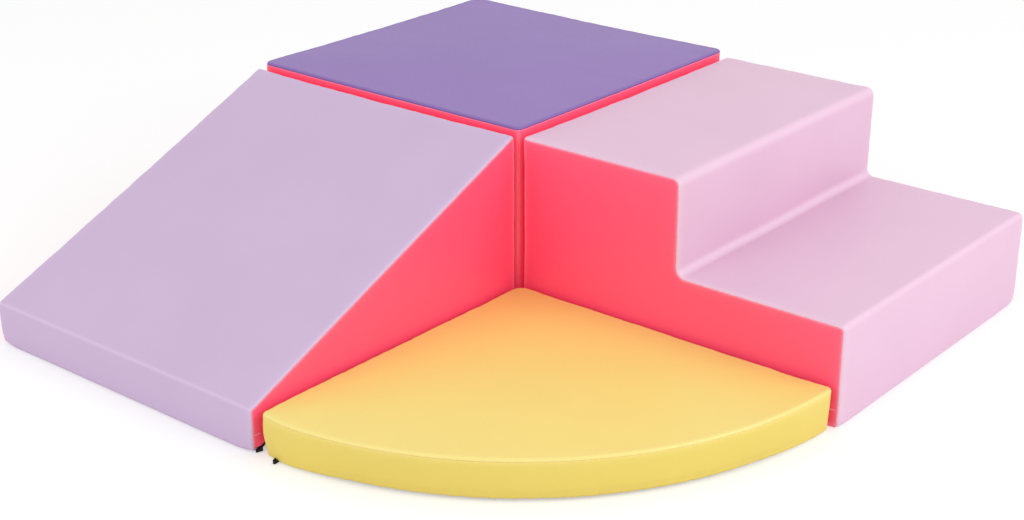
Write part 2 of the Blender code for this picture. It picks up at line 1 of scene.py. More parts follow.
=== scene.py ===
"""Looks of a soft play corner set: a corner block, a ramp, a pair of steps and a quarter-round mat.

Each cover is cut as flat panels that fold over the same shapes as the solids. A cloth simulation fills the
covers, and the seams, puckers and drawn corners come after it. Inside are the foams, and below the base
cloths, the zips and the tapes. Metres, +Z up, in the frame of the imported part.
"""

import math
from collections import namedtuple

import bmesh
import bpy
import numpy as np
from mathutils import Matrix, Vector, kdtree, noise
from mathutils.geometry import delaunay_2d_cdt


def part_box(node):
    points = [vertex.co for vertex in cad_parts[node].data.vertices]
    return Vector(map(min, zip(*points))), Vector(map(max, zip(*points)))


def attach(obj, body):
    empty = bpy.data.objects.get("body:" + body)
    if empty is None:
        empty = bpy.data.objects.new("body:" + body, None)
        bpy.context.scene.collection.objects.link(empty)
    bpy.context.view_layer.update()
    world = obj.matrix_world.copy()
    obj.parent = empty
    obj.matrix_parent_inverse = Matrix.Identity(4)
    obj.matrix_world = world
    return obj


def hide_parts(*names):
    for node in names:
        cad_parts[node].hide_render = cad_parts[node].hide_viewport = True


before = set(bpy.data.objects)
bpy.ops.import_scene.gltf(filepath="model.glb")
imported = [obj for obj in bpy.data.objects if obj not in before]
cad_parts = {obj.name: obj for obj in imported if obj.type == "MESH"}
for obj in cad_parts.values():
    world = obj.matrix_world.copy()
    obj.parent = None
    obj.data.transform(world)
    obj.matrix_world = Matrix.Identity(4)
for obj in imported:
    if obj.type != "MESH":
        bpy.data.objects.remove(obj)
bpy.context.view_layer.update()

# The photograph's camera
IMAGE_WIDTH = 1024
FOCAL_PIXELS = 1804.6
SENSOR_WIDTH = 36
CAMERA_PLACE = (1.6058, -1.9706, 1.1699)
CAMERA_AZIMUTH = math.radians(39.47)
CAMERA_ELEVATION = math.radians(22.72)

# Where the four pieces meet
GAP_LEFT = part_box("corner_side_to_steps")[1].x
GAP_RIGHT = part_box("steps_back_panel")[0].x
HALF_GAP = (GAP_RIGHT - GAP_LEFT) / 2
MEETING = Vector(((GAP_LEFT + GAP_RIGHT) / 2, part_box("ramp_back_panel")[1].y + HALF_GAP, 0))

# The four pieces, as in the solids
SIDE = 0.5500
CORNER_HEIGHT = 0.3143
RAMP_LENGTH = 0.5540
RAMP_HEIGHT = 0.3083
TOE_HEIGHT = 0.0675
STEPS_LENGTH = 0.5590
STEPS_HEIGHT = 0.3026
TREAD_HEIGHT = 0.1542
TOP_TREAD_DEPTH = 0.2849
MAT_HEIGHT = 0.0650
MAT_RADIUS = 0.5510

# Folds and rounded corners
PLAN_CORNER_RADIUS = 0.0120
SEWN_EDGE_RADIUS = 0.0045
BACK_EDGE_RADIUS = 0.0065
FOOT_RADIUS = 0.0065
TOE_FOLD_RADIUS = 0.0080
TOP_NOSING_RADIUS = 0.0150
FRONT_NOSING_RADIUS = 0.0100
INNER_FOLD_RADIUS = 0.0130
MAT_CORNER_RADIUS = 0.0100
MAT_INNER_RADIUS = 0.0260
WALL_FOOT_RADIUS = 0.0045

# Seams and leather
FOOT = 0.0003
FOOT_UNDER = 0.0040
FLOOR_PLAY = 0.0002
LEATHER = 0.0009
ROLL = 0.0007
SEAM_PLAY = 0.00015
SEAM_SETBACK = ROLL + SEAM_PLAY
FLANGE = 0.0030

# How the filled cover moves
CROWN = 0.0035
HELD_SHARE = 0.12
STITCH_DRAW = 0.00012
STITCH_FADE = 0.0022
PUCKER_HEIGHT = 0.00045
PUCKER_PITCH = 0.0065
PUCKER_FADE = 0.0090
GATHER_HEIGHT = 0.00060
GATHER_PITCH = 0.0220
GATHER_FADE = 0.0300
UNDULATION = 0.00035
UNDULATION_PITCH = 0.0900

# Corners and feet that are drawn in
MAT_TOP_DRAW = 0.0055
MAT_FOOT_DRAW = 0.0100
MAT_BACK_DRAW = 0.0015
MAT_DRAW_REACH = 0.0300
RAMP_TOE_DRAW = 0.0040
STEPS_TOE_DRAW = 0.0015
TOE_DRAW_REACH = 0.0180
ARC_DRAWS = 34
ARC_DRAWS_FADE = 6
ARC_DRAW_SIZE = 0.0055
ARC_DRAW_SLANT = 0.7
ARC_DRAW_REACH = 0.0160

# Simulation of the blank
BLANK_VOXEL = 0.0090
PRESSURE = 4.0
FRAMES = 20
PIN_HEIGHT = 0.012
NEAR_COUNT = 12
NEAR_RADIUS = 0.0090

# Mesh density
SPACING = 0.0018
SPACING_ACROSS = 0.0090
FIRST_STEP = 0.0012
GROWTH = 1.30
HALF_ARC_STEPS = 3
EDGE_TURN_STEPS = 4
ROLL_STEPS = 3
RIM_DEPTHS = (0.0012, 0.0028, 0.0050, 0.0080, 0.0120)
RIM_CLEARANCE_SHARE = 0.8
INNER_MARGIN = 0.0160
MERGE_DISTANCE = 1e-7

# Foam and base cloth
FOAM_INSET = 0.0065
FOAM_RIM = 0.0015
LAYER_LOW = 0.0016
LAYER_HIGH = 0.0128
CORE_LOW = 0.0135
CLOTH_LOW = 0.0001
CLOTH_HIGH = 0.0012
CLOTH_RIM = 0.0004
WALL_CLOTH_INSET = WALL_FOOT_RADIUS + FOOT_UNDER + 2 * SEAM_SETBACK
FOOT_CLOTH_INSET = FOOT_RADIUS + FOOT_UNDER + 2 * SEAM_SETBACK
FLAT_CLOTH_INSET = SEAM_SETBACK + FLANGE

# Zips
ZIP_RECESS = 0.0090
ZIP_END_MARGIN = 0.0065
MAT_ZIP_SETBACK = 0.0350
ZIP_TAPE_LOW = 0.0015
ZIP_TAPE_HIGH = 0.0127
ZIP_TAPE_BACK = 0.0003
ZIP_TAPE_THICKNESS = 0.0008
TAB_LOW = 0.0008
TAB_HIGH = 0.0056
BEAD = 0.00025
BEAD_HEIGHT = 0.0012
CHAIN_BACK = 0.0014
CHAIN_FRONT = 0.0028
CHAIN_HALF_WIDTH = 0.0023
CHAIN_CORD = 0.0006
TOOTH_PITCH = 0.0016
TOOTH_LENGTH = 0.0010
TOOTH_OVERLAP = 0.0007
TOOTH_NECK = 0.0012
ZIP_STEPS = 60
SLIDER_EDGE = 0.00015
FLAP_HEIGHT = 0.0103
LOW_FLAP_HEIGHT = 0.0060
FLAP_STEP = 0.0120
FLAP_STEP_WIDTH = 0.0085
FLAP_STEP_RADIUS = 0.0010
ZIP_OPEN_MARGIN = 0.0095
MAT_ZIP_OPEN_MARGIN = 0.0230

# The zips' folded ends that show at the foot, in plan: the ramp's from its front corner beside the mat,
# and the mat's from the inner corner of its plan
RAMP_TAB = (
    (-0.0300, -0.0083), (-0.0240, -0.0060), (-0.0190, -0.0030), (-0.0130, -0.0026), (-0.0095, -0.0024),
    (-0.0086, -0.0012), (-0.0110, -0.0002), (-0.0140, 0.0008), (-0.0170, 0.0018), (-0.0184, 0.0008),
    (-0.0170, -0.0004),
)
MAT_TAB = (
    (0.5400, 0.0265), (0.5460, 0.0285), (0.5505, 0.0300), (0.5525, 0.0320), (0.5510, 0.0340),
    (0.5460, 0.0335), (0.5400, 0.0320),
)

# Hook and loop tapes
TAPE_BASE = 0.0012
TAPE_CORNER_RADIUS = 0.0020
TAPE_RIM = 0.0003
HOOK_MARGIN = 0.0034
HOOK_PITCH = 0.0021
HOOK_RADIUS = 0.00024
HOOK_SIDES = 3
HOOK_BEND_SHARE = 0.35
PILE_PITCH = 0.0009
PILE_SHARE = 0.7
PILE_NOISE_SCALE = 1400
THREAD_MARGIN = 0.0017
THREAD_PITCH = 0.0032
THREAD_LENGTH = 0.0024
THREAD_RADIUS = 0.00022
THREAD_SIDES = 6

# Small shapes. A tooth's rows hold a distance from the chain's middle, a width and a depth. A hook's
# hold a rise, a lean and a width, and a stitch's a share of its length and a width.
TOOTH_SHAPE = ((CHAIN_HALF_WIDTH, 0.6, 0.7), (TOOTH_NECK, 0.8, 1), (0, 1, 1), (-TOOTH_OVERLAP, 0.7, 0.8))
HOOK_SHAPE = ((0, 0, 1.2), (0.0010, 0.1, 1), (0.0016, 0.5, 0.8), (0.0014, 1, 0.3))
STITCH_SHAPE = ((0, 0.4), (0.12, 1), (0.88, 1), (1, 0.4))

# Bar tacks near the foot of the two sides beside the mat
TACK_HEIGHT = 0.0270
TACK_START = 0.0170
TACK_LENGTH = 0.0100
TACK_PITCH = 0.0009
TACK_HALF_WIDTH = 0.0008
TACK_THREAD_RADIUS = THREAD_RADIUS * 1.4

# Leather: heights in metres, rates of fading per metre from a seam, and shares of a tone
GRAIN_HEIGHT = 0.00010
WRINKLE_HEIGHT = 0.00012
CREASE_HEIGHT = 0.00030
CREASE_RATE = 130.0
# Beside sewn edges, along folds and in seam grooves, these rates and shares set painted light: highlights,
# or shade where a colour is darker
EDGE_PAINT_RATE = 220.0
PAINTED_SEAM_RATE = 1500.0
EDGE_PAINT_SHARE = 0.6
FOLD_HIGHLIGHT_SHARE = 0.8
PAINTED_SEAM_SHARE = 0.9
STITCH_THRESHOLD = 0.52
STITCH_SHARE = 0.35
DARK_TONE = 0.975
LIGHT_TONE = 1.015
# PAINTED_GLOW_POWER sets the colour of the leather's painted glow
PAINTED_GLOW_POWER = 1.5

# Foam, cloth and lacquer. WAVE_PHASE is how far a wave texture's phase runs in a metre at a scale of 1.
PORE_DEPTH = 0.0006
SCUFF_DEPTH = 0.00003
WAVE_PHASE = 20

# Light
LIGHT_TARGET = (0, 0, 0.15)
KEY_PLACE = (2.9, 0.4, 1.9)
KEY_SIZE = 2.2
KEY_POWER = 35
FILL_PLACE = (-0.7, -3.2, 1.7)
FILL_SIZE = 2.4
FILL_POWER = 21
WORLD_STRENGTH = 0.78
WORLD_SEEN_EXTRA = 0.22
FLOOR_RADIUS = 12
FLOOR_GLOW = 1.28
FLOOR_GLOW_SHARE = 0.36

QUARTER_TURN = math.pi / 2

Sample = namedtuple("Sample", "point normal")
Outline = namedtuple("Outline", "samples middles halves")
Level = namedtuple("Level", "along inset")
Draw = namedtuple("Draw", "place way size reach")
Block = namedtuple("Block", "name place centre seams filling held draws")


# Objects

def placed(name, data):
    """A new object in the scene."""
    made = bpy.data.objects.new(name, data)
    bpy.context.scene.collection.objects.link(made)
    return made


def mesh_of(bm, name):
    """The mesh of a finished bmesh, which is freed."""
    mesh = bpy.data.meshes.new(name)
    bm.to_mesh(mesh)
    bm.free()
    return mesh


def tree_of(points):
    """A tree that finds the nearest of some points."""
    tree = kdtree.KDTree(len(points))
    for number, point in enumerate(points):
        tree.insert(point, number)
    tree.balance()
    return tree


# Outlines

def arc(centre, radius, start, end, side=1):
    """Samples along an arc, an odd number of them. side is -1 in an inner corner."""
    half = max(HALF_ARC_STEPS, math.ceil(abs(end - start) * radius / SPACING / 2))
    samples = []
    for step in range(2 * half + 1):
        angle = start + (end - start) * step / (2 * half)
        normal = Vector((math.cos(angle), math.sin(angle)))
        samples.append(Sample(Vector(centre) + normal * radius * side, normal))
    return samples


def straight(first, last):
    """Samples strictly between two samples of one straight side."""
    count = max(2, round((last.point - first.point).length / SPACING))
    shares = [step / count for step in range(1, count)]
    return [Sample(first.point.lerp(last.point, share), first.normal) for share in shares]


def rounded_outline(corners, radii):
    """A polygon, counter-clockwise, with rounded corners."""
    count = len(corners)
    points = [Vector(corner) for corner in corners]
    arcs = []
    for here in range(count):
        before = (points[here] - points[here - 1]).normalized()
        after = (points[(here + 1) % count] - points[here]).normalized()
        turn = math.atan2(before.cross(after), before.dot(after))
        reach = radii[here] * math.tan(abs(turn) / 2)
        side = 1 if turn > 0 else -1
        start = math.atan2(-before.x, before.y)
        first_normal = Vector((math.cos(start), math.sin(start)))
        centre = points[here] - before * reach - first_normal * radii[here] * side
        arcs.append(arc(centre, radii[here], start, start + turn, side))
    samples, middles = [], []
    for here in range(count):
        middles.append(len(samples) + len(arcs[here]) // 2)
        samples += arcs[here] + straight(arcs[here][-1], arcs[(here + 1) % count][0])
    return Outline(samples, middles, [len(a) // 2 for a in arcs])


def quarter_outline(radius, side_inset, back_inset):
    """A quarter disc with rounded corners. middles holds its side, its back and its inner corner."""
    ring_radius = radius - MAT_CORNER_RADIUS
    side_rise, back_rise = side_inset + MAT_CORNER_RADIUS, back_inset + MAT_CORNER_RADIUS
    side_angle, back_angle = math.asin(side_rise / ring_radius), math.asin(back_rise / ring_radius)
    back_end = QUARTER_TURN - back_angle
    side_centre = (ring_radius * math.cos(side_angle), side_rise)
    back_centre = (back_rise, ring_radius * math.cos(back_angle))
    inner_centre = (back_inset + MAT_INNER_RADIUS, side_inset + MAT_INNER_RADIUS)
    side_corner = arc(side_centre, MAT_CORNER_RADIUS, -QUARTER_TURN, side_angle)
    front = arc((0, 0), radius, side_angle, back_end)[1:-1]
    back_corner = arc(back_centre, MAT_CORNER_RADIUS, back_end, math.pi)
    inner = arc(inner_centre, MAT_INNER_RADIUS, math.pi, math.pi + QUARTER_TURN)
    samples = side_corner + front
    middles = [len(side_corner) // 2, len(samples) + len(back_corner) // 2]
    samples += back_corner + straight(back_corner[-1], inner[0])
    middles.append(len(samples) + len(inner) // 2)
    samples += inner + straight(inner[-1], side_corner[0])
    return Outline(samples, middles, [len(a) // 2 for a in (side_corner, back_corner, inner)])


# Rails and levels

def upright(point, along):
    """An outline in plan, with the rail up the piece."""
    return Vector((point.x, point.y, along))


def crosswise(point, along):
    """An outline in profile, with the rail across the piece."""
    return Vector((point.x, along, point.y))


def graded(low, high):
    """Places from low to high, close together at both ends."""
    reach, step = [0.0], FIRST_STEP
    while reach[-1] + step < (high - low) / 2:
        reach.append(reach[-1] + step)
        step = min(step * GROWTH, SPACING_ACROSS)
    return [low + away for away in reach] + [high - away for away in reversed(reach)]


def turn_levels(at, facing, radius, inset=0, first_lean=0, last_lean=QUARTER_TURN):
    """Levels round a rounded edge, from the wall, where the lean is 0, to the cap."""
    levels = []
    for step in range(EDGE_TURN_STEPS + 1):
        lean = first_lean + (last_lean - first_lean) * step / EDGE_TURN_STEPS
        along = at - facing * radius * (1 - math.sin(lean))
        levels.append(Level(along, inset + radius * (1 - math.cos(lean))))
    return levels


def foot_turn():
    """Levels from the base's seam, out under a wall and round its foot."""
    under = [Level(FOOT, WALL_FOOT_RADIUS + FOOT_UNDER * share) for share in (1, 0.5)]
    return under + turn_levels(FOOT, -1, WALL_FOOT_RADIUS)[::-1]


def slab_levels(low, high, inset, rim):
    """Levels of a slab whose two rims are rounded."""
    return turn_levels(low, -1, rim, inset)[::-1] + turn_levels(high, 1, rim, inset)


def ring(outline, level, to_3d):
    return [to_3d(s.point - s.normal * level.inset, level.along) for s in outline.samples]


def slice_of(ring_points, first, last):
    """The stretch of a ring from one index to another, round past the start where needed."""
    count = len(ring_points)
    return [ring_points[(first + step) % count] for step in range((last - first) % count + 1)]


def stretches(outline):
    """The first and the last index of each side, from the middle of one corner to the next."""
    return zip(outline.middles, outline.middles[1:] + outline.middles[:1])


# Sheets

def join_rows(bm, first, second, closed):
    """Faces between two rows of points, or between two rings."""
    count = len(first)
    for here in range(count if closed else count - 1):
        after = (here + 1) % count
        bm.faces.new((first[here], first[after], second[after], second[here]))


def closed_rings(bm, rings):
    """A closed body through rings of points."""
    made = [[bm.verts.new(point) for point in points] for points in rings]
    for first, second in zip(made, made[1:]):
        join_rows(bm, first, second, True)
    bm.faces.new(made[0])
    bm.faces.new(made[-1])


def new_sheet():
    """An empty sheet that can note each point's nearest seam, its distance, and its share in a fold."""
    bm = bmesh.new()
    bm.verts.layers.float.new("seam_distance")
    bm.verts.layers.float.new("fold")
    bm.verts.layers.float_vector.new("seam_near")
    return bm


def drawn_back(row):
    """A row of points squeezed together a little, so that it stops short of the seams at its ends."""
    points = np.array([tuple(point) for point in row])
    steps = np.linalg.norm(np.diff(points, axis=0), axis=1)
    reach = np.concatenate(([0.0], np.cumsum(steps)))
    wanted = SEAM_SETBACK + reach * (1 - 2 * SEAM_SETBACK / reach[-1])
    return [Vector(p) for p in zip(*(np.interp(wanted, reach, points[:, axis]) for axis in range(3)))]


def strip(rows, notch=None, folds=None):
    """A sheet through rows of points, and its border. notch is the first column, the last column and
    the top row of a rectangle that is left open at the foot. folds says how sharply columns fold."""
    bm = new_sheet()
    fold = bm.verts.layers.float["fold"]
    start, end, top = notch or (0, 0, 0)
    grid = []
    for number, row in enumerate(rows):
        made = []
        for column, point in enumerate(drawn_back(row)):
            left_out = number < top and start < column < end
            made.append(None if left_out else bm.verts.new(point))
        for column, share in (folds or {}).items():
            made[column][fold] = share
        grid.append(made)
    for number, (first, second) in enumerate(zip(grid, grid[1:])):
        if number < top:
            join_rows(bm, first[:start + 1], second[:start + 1], False)
            join_rows(bm, first[end:], second[end:], False)
        else:
            join_rows(bm, first, second, False)
    foot = grid[0]
    if notch:
        foot = grid[0][:start + 1] + [row[start] for row in grid[1:top]] + grid[top][start:end + 1]
        foot += [row[end] for row in grid[top - 1:0:-1]] + grid[0][end:]
    border = foot + [row[-1] for row in grid[1:-1]]
    border += grid[-1][::-1] + [row[0] for row in grid[-2:0:-1]]
    return bm, border


def inside(points, rim):
    """Which points lie within a closed rim, by counting the sides that they are left of."""
    found = np.zeros(len(points), bool)
    x, y = points[:, 0], points[:, 1]
    for here in range(len(rim)):
        (x0, y0), (x1, y1) = rim[here - 1], rim[here]
        if y0 != y1:
            crosses = (y0 > y) != (y1 > y)
            found ^= crosses & (x < x0 + (y - y0) * (x1 - x0) / (y1 - y0))
    return found


def meshed(rim, normals):
    """Points inside a flat rim, finest beside it, and the triangles over the rim and the points."""
    tree = tree_of([point.to_3d() for point in rim])
    wanted = []
    for number, depth in enumerate(RIM_DEPTHS):
        every = 2 ** number
        for here in range(0, len(rim), every):
            wanted.append((rim[here] - normals[here] * depth, depth * RIM_CLEARANCE_SHARE))
    low = Vector((min(p.x for p in rim), min(p.y for p in rim)))
    high = Vector((max(p.x for p in rim), max(p.y for p in rim)))
    row_step = SPACING_ACROSS * math.sin(math.pi / 3)
    for row in range(int((high.y - low.y) / row_step)):
        shift = SPACING_ACROSS / 2 * (row % 2)
        for column in range(int((high.x - low.x) / SPACING_ACROSS)):
            place = low + Vector((shift + column * SPACING_ACROSS, row * row_step))
            wanted.append((place, INNER_MARGIN))
    within = inside(np.array([tuple(p) for p, _ in wanted]), [tuple(p) for p in rim])
    kept = [p for (p, clear), good in zip(wanted, within) if good and tree.find(p.to_3d())[2] > clear]
    points = rim + kept
    sides = [(here, (here + 1) % len(rim)) for here in range(len(rim))]
    _, _, faces, origins, _, _ = delaunay_2d_cdt(points, sides, [], 1, MERGE_DISTANCE)
    return kept, [[origins[corner][0] for corner in face] for face in faces]


def lidded(outline, levels, to_3d):
    """A sheet of rings that end in a flat lid, and its border."""
    bm = new_sheet()
    rings = [[bm.verts.new(point) for point in ring(outline, level, to_3d)] for level in levels]
    for first, second in zip(rings, rings[1:]):
        join_rows(bm, first, second, True)
    rim = [s.point - s.normal * levels[-1].inset for s in outline.samples]
    kept, faces = meshed(rim, [s.normal for s in outline.samples])
    verts = rings[-1] + [bm.verts.new(to_3d(point, levels[-1].along)) for point in kept]
    for face in faces:
        bm.faces.new([verts[corner] for corner in face])
    return bm, rings[0]


def face_out(bm, centre):
    """Turns all faces one way, out from the centre."""
    bmesh.ops.recalc_face_normals(bm, faces=bm.faces)
    bm.normal_update()
    outward = sum(f.normal.dot(f.calc_center_median() - centre) * f.calc_area() for f in bm.faces)
    if outward < 0:
        bmesh.ops.reverse_faces(bm, faces=bm.faces)
        bm.normal_update()


# Filling and sewing

def blank_filling(outline, low, high, to_3d):
    """How foam moves a closed cover: simulated on a plain blank, then scaled to the crown it has."""
    bm = bmesh.new()
    closed_rings(bm, [[to_3d(s.point, at) for s in outline.samples] for at in (low, high)])
    bmesh.ops.recalc_face_normals(bm, faces=bm.faces)
    blank = placed("blank", mesh_of(bm, "blank"))
    remesh = blank.modifiers.new("remesh", "REMESH")
    remesh.mode = "VOXEL"
    remesh.voxel_size = BLANK_VOXEL
    graph = bpy.context.evaluated_depsgraph_get()
    blank.data = bpy.data.meshes.new_from_object(blank.evaluated_get(graph))
    blank.modifiers.clear()
    rest = [vertex.co.copy() for vertex in blank.data.vertices]
    pinned = blank.vertex_groups.new(name="pinned")
    pinned.add([n for n, point in enumerate(rest) if point.z < PIN_HEIGHT], 1, "REPLACE")
    cloth = blank.modifiers.new("cloth", "CLOTH")
    cloth.settings.vertex_group_mass = pinned.name
    cloth.settings.use_pressure = True
    cloth.settings.uniform_pressure_force = PRESSURE
    cloth.settings.effector_weights.gravity = 0
    scene = bpy.context.scene
    for number in range(1, FRAMES + 1):
        scene.frame_set(number)
    graph = bpy.context.evaluated_depsgraph_get()
    filled = blank.evaluated_get(graph).data
    moves = [filled.vertices[n].co - point for n, point in enumerate(rest)]
    bpy.data.objects.remove(blank)
    scene.frame_set(1)
    largest = max(move.length for move in moves)
    tree = tree_of(rest)

    def filling(point):
        total, weight = Vector((0, 0, 0)), 0
        for _, number, away in tree.find_n(point, NEAR_COUNT):
            share = math.exp(-(away / NEAR_RADIUS) ** 2)
            total += moves[number] * share
            weight += share
        return total * (CROWN / largest / weight)

    return filling


def draw_move(block, point):
    """How far the drawn and the pushed corners of a block move a point."""
    move = Vector((0, 0, 0))
    for draw in block.draws:
        share = math.exp(-((point - draw.place).length / draw.reach) ** 2)
        move += draw.way * draw.size * share
    return move


def cover_move(block, point, normal):
    """How far filling and sewing move a point of the cover, and its nearest seam."""
    move = block.filling(point) + normal * UNDULATION * noise.noise(point / UNDULATION_PITCH)
    closest, distance = point, 1.0
    for seam in block.seams:
        near, number, away = seam.find(point)
        if away < distance:
            closest, distance = near, away
        rise = GATHER_HEIGHT * math.exp(-away / GATHER_FADE) * noise.noise(near / GATHER_PITCH)
        rise += PUCKER_HEIGHT * math.exp(-away / PUCKER_FADE) * noise.noise(near / PUCKER_PITCH)
        rise += STITCH_DRAW * math.exp(-away / STITCH_FADE) * (1 if number % 2 else -1)
        move += normal * rise
    for way in block.held:
        if normal.dot(way) > 0.5 and move.dot(way) > 0:
            move -= way * move.dot(way) * (1 - HELD_SHARE)
    return move + draw_move(block, point), closest, distance


def tuck(bm, border, layers):
    """Rolls a sheet's border into its seam, and on into a flange behind it."""
    bm.normal_update()
    count = len(border)
    ways = []
    for here, vert in enumerate(border):
        before = (vert.co - border[here - 1].co).cross(vert.normal).normalized()
        after = (border[(here + 1) % count].co - vert.co).cross(vert.normal).normalized()
        way = (before + after) / max(1 + before.dot(after), 0.5)
        ways.append(way)
    away = sum(w.dot(v.co - v.link_faces[0].calc_center_median()) for v, w in zip(border, ways))
    turn = 1 if away > 0 else -1
    turns = [QUARTER_TURN * (step + 1) / ROLL_STEPS for step in range(ROLL_STEPS)]
    offsets = [(ROLL * math.sin(lean), ROLL * (1 - math.cos(lean))) for lean in turns]
    offsets.append((ROLL, ROLL + FLANGE))
    last = border
    for out, down in offsets:
        row = []
        for vert, way in zip(border, ways):
            made = bm.verts.new(vert.co + way * turn * out - vert.normal * down)
            for layer in layers:
                made[layer] = vert[layer]
            row.append(made)
        for here in range(count):
            after = (here + 1) % count
            corners = (last[after], last[here], row[here], row[after])
            bm.faces.new(corners if turn > 0 else corners[::-1])
        last = row


def finish_piece(bm, name, look, body, slot, *nodes):
    """A named piece from a mesh, which rides on a body and stands for the solids of those nodes."""
    mesh = mesh_of(bm, name)
    mesh.shade_smooth()
    mesh.materials.append(look)
    made = placed(name, mesh)
    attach(made, body)
    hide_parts(*nodes)
    return made


def closed_piece(bm, place, name, look, body, slot, *nodes):
    """A piece from closed bodies, turned outward and put in its place."""
    bmesh.ops.recalc_face_normals(bm, faces=bm.faces)
    bmesh.ops.transform(bm, matrix=place, verts=bm.verts)
    return finish_piece(bm, name, look, body, slot, *nodes)


def panel(block, name, sheet, leather, slot):
    """One sewn leather panel, which stands for the solid's panel of the same name."""
    bm, border = sheet
    face_out(bm, block.centre)
    away = bm.verts.layers.float["seam_distance"]
    near = bm.verts.layers.float_vector["seam_near"]
    for vert, normal in [(v, v.normal.copy()) for v in bm.verts]:
        move, closest, distance = cover_move(block, vert.co, normal)
        vert[away] = distance
        vert[near] = closest
        vert.co += move
    tuck(bm, border, (away, near))
    for vert in bm.verts:
        vert.co.z = max(vert.co.z, FLOOR_PLAY)
    bmesh.ops.transform(bm, matrix=block.place, verts=bm.verts)
    made = finish_piece(bm, f"{name}_leather", leather, block.name, slot, name)
    thick = made.modifiers.new("thickness", "SOLIDIFY")
    thick.thickness = LEATHER
    thick.offset = -1
    return made


# Materials

def linear(channel):
    """An sRGB channel as scene-linear."""
    if channel <= 0.04045:
        return channel / 12.92
    return ((channel + 0.055) / 1.055) ** 2.4


def rgba(colour, power=1):
    """An sRGB colour as a socket's value, each channel raised to a power."""
    return (*[linear(channel) ** power for channel in colour], 1)


def feed(tree, socket, value):
    """Links a socket to another, or sets its value."""
    if isinstance(value, bpy.types.NodeSocket):
        tree.links.new(value, socket)
    else:
        socket.default_value = value


def shader(name, colour, roughness):
    """A new material, its node tree and its main shader."""
    made = bpy.data.materials.new(name)
    made.use_nodes = True
    tree = made.node_tree
    main = tree.nodes["Principled BSDF"]
    main.inputs["Base Color"].default_value = rgba(colour)
    main.inputs["Roughness"].default_value = roughness
    return made, tree, main


def node(tree, kind, settings=None, **inputs):
    """A node with its settings, and with its inputs set or linked by name."""
    made = tree.nodes.new(kind)
    for key, value in (settings or {}).items():
        setattr(made, key, value)
    for key, value in inputs.items():
        feed(tree, made.inputs[key.replace("_", " ")], value)
    return made


def maths(tree, operation, first, second=0.0):
    made = node(tree, "ShaderNodeMath", {"operation": operation})
    feed(tree, made.inputs[0], first)
    feed(tree, made.inputs[1], second)
    return made.outputs[0]


def times(tree, first, second):
    return maths(tree, "MULTIPLY", first, second)


def plus(tree, first, second):
    return maths(tree, "ADD", first, second)


def fading(tree, away, rate):
    """A share that is 1 at a distance of 0 and fades at a rate per metre."""
    return maths(tree, "EXPONENT", times(tree, away, -rate))


def coordinates(tree):
    return node(tree, "ShaderNodeTexCoord").outputs["Object"]


def attribute(tree, name, output="Fac"):
    return node(tree, "ShaderNodeAttribute", {"attribute_name": name}).outputs[output]


def noise_at(tree, place, scale, detail):
    return node(tree, "ShaderNodeTexNoise", Vector=place, Scale=scale, Detail=detail).outputs["Fac"]


def cells_at(tree, place, scale, feature="F1"):
    found = node(tree, "ShaderNodeTexVoronoi", {"feature": feature}, Vector=place, Scale=scale)
    return found.outputs["Distance"]


def mixed(tree, share, first, second):
    """A colour between two, each a socket or an sRGB colour."""
    made = node(tree, "ShaderNodeMix", {"data_type": "RGBA"})
    tree.links.new(share, made.inputs["Factor"])
    for socket, value in ((made.inputs[6], first), (made.inputs[7], second)):
        feed(tree, socket, value if isinstance(value, bpy.types.NodeSocket) else rgba(value))
    return made.outputs[2]


def bumped(tree, main, height):
    """Gives the shader a bump whose height is in metres."""
    bump = node(tree, "ShaderNodeBump", Height=height, Strength=1.0, Distance=1.0)
    tree.links.new(bump.outputs["Normal"], main.inputs["Normal"])


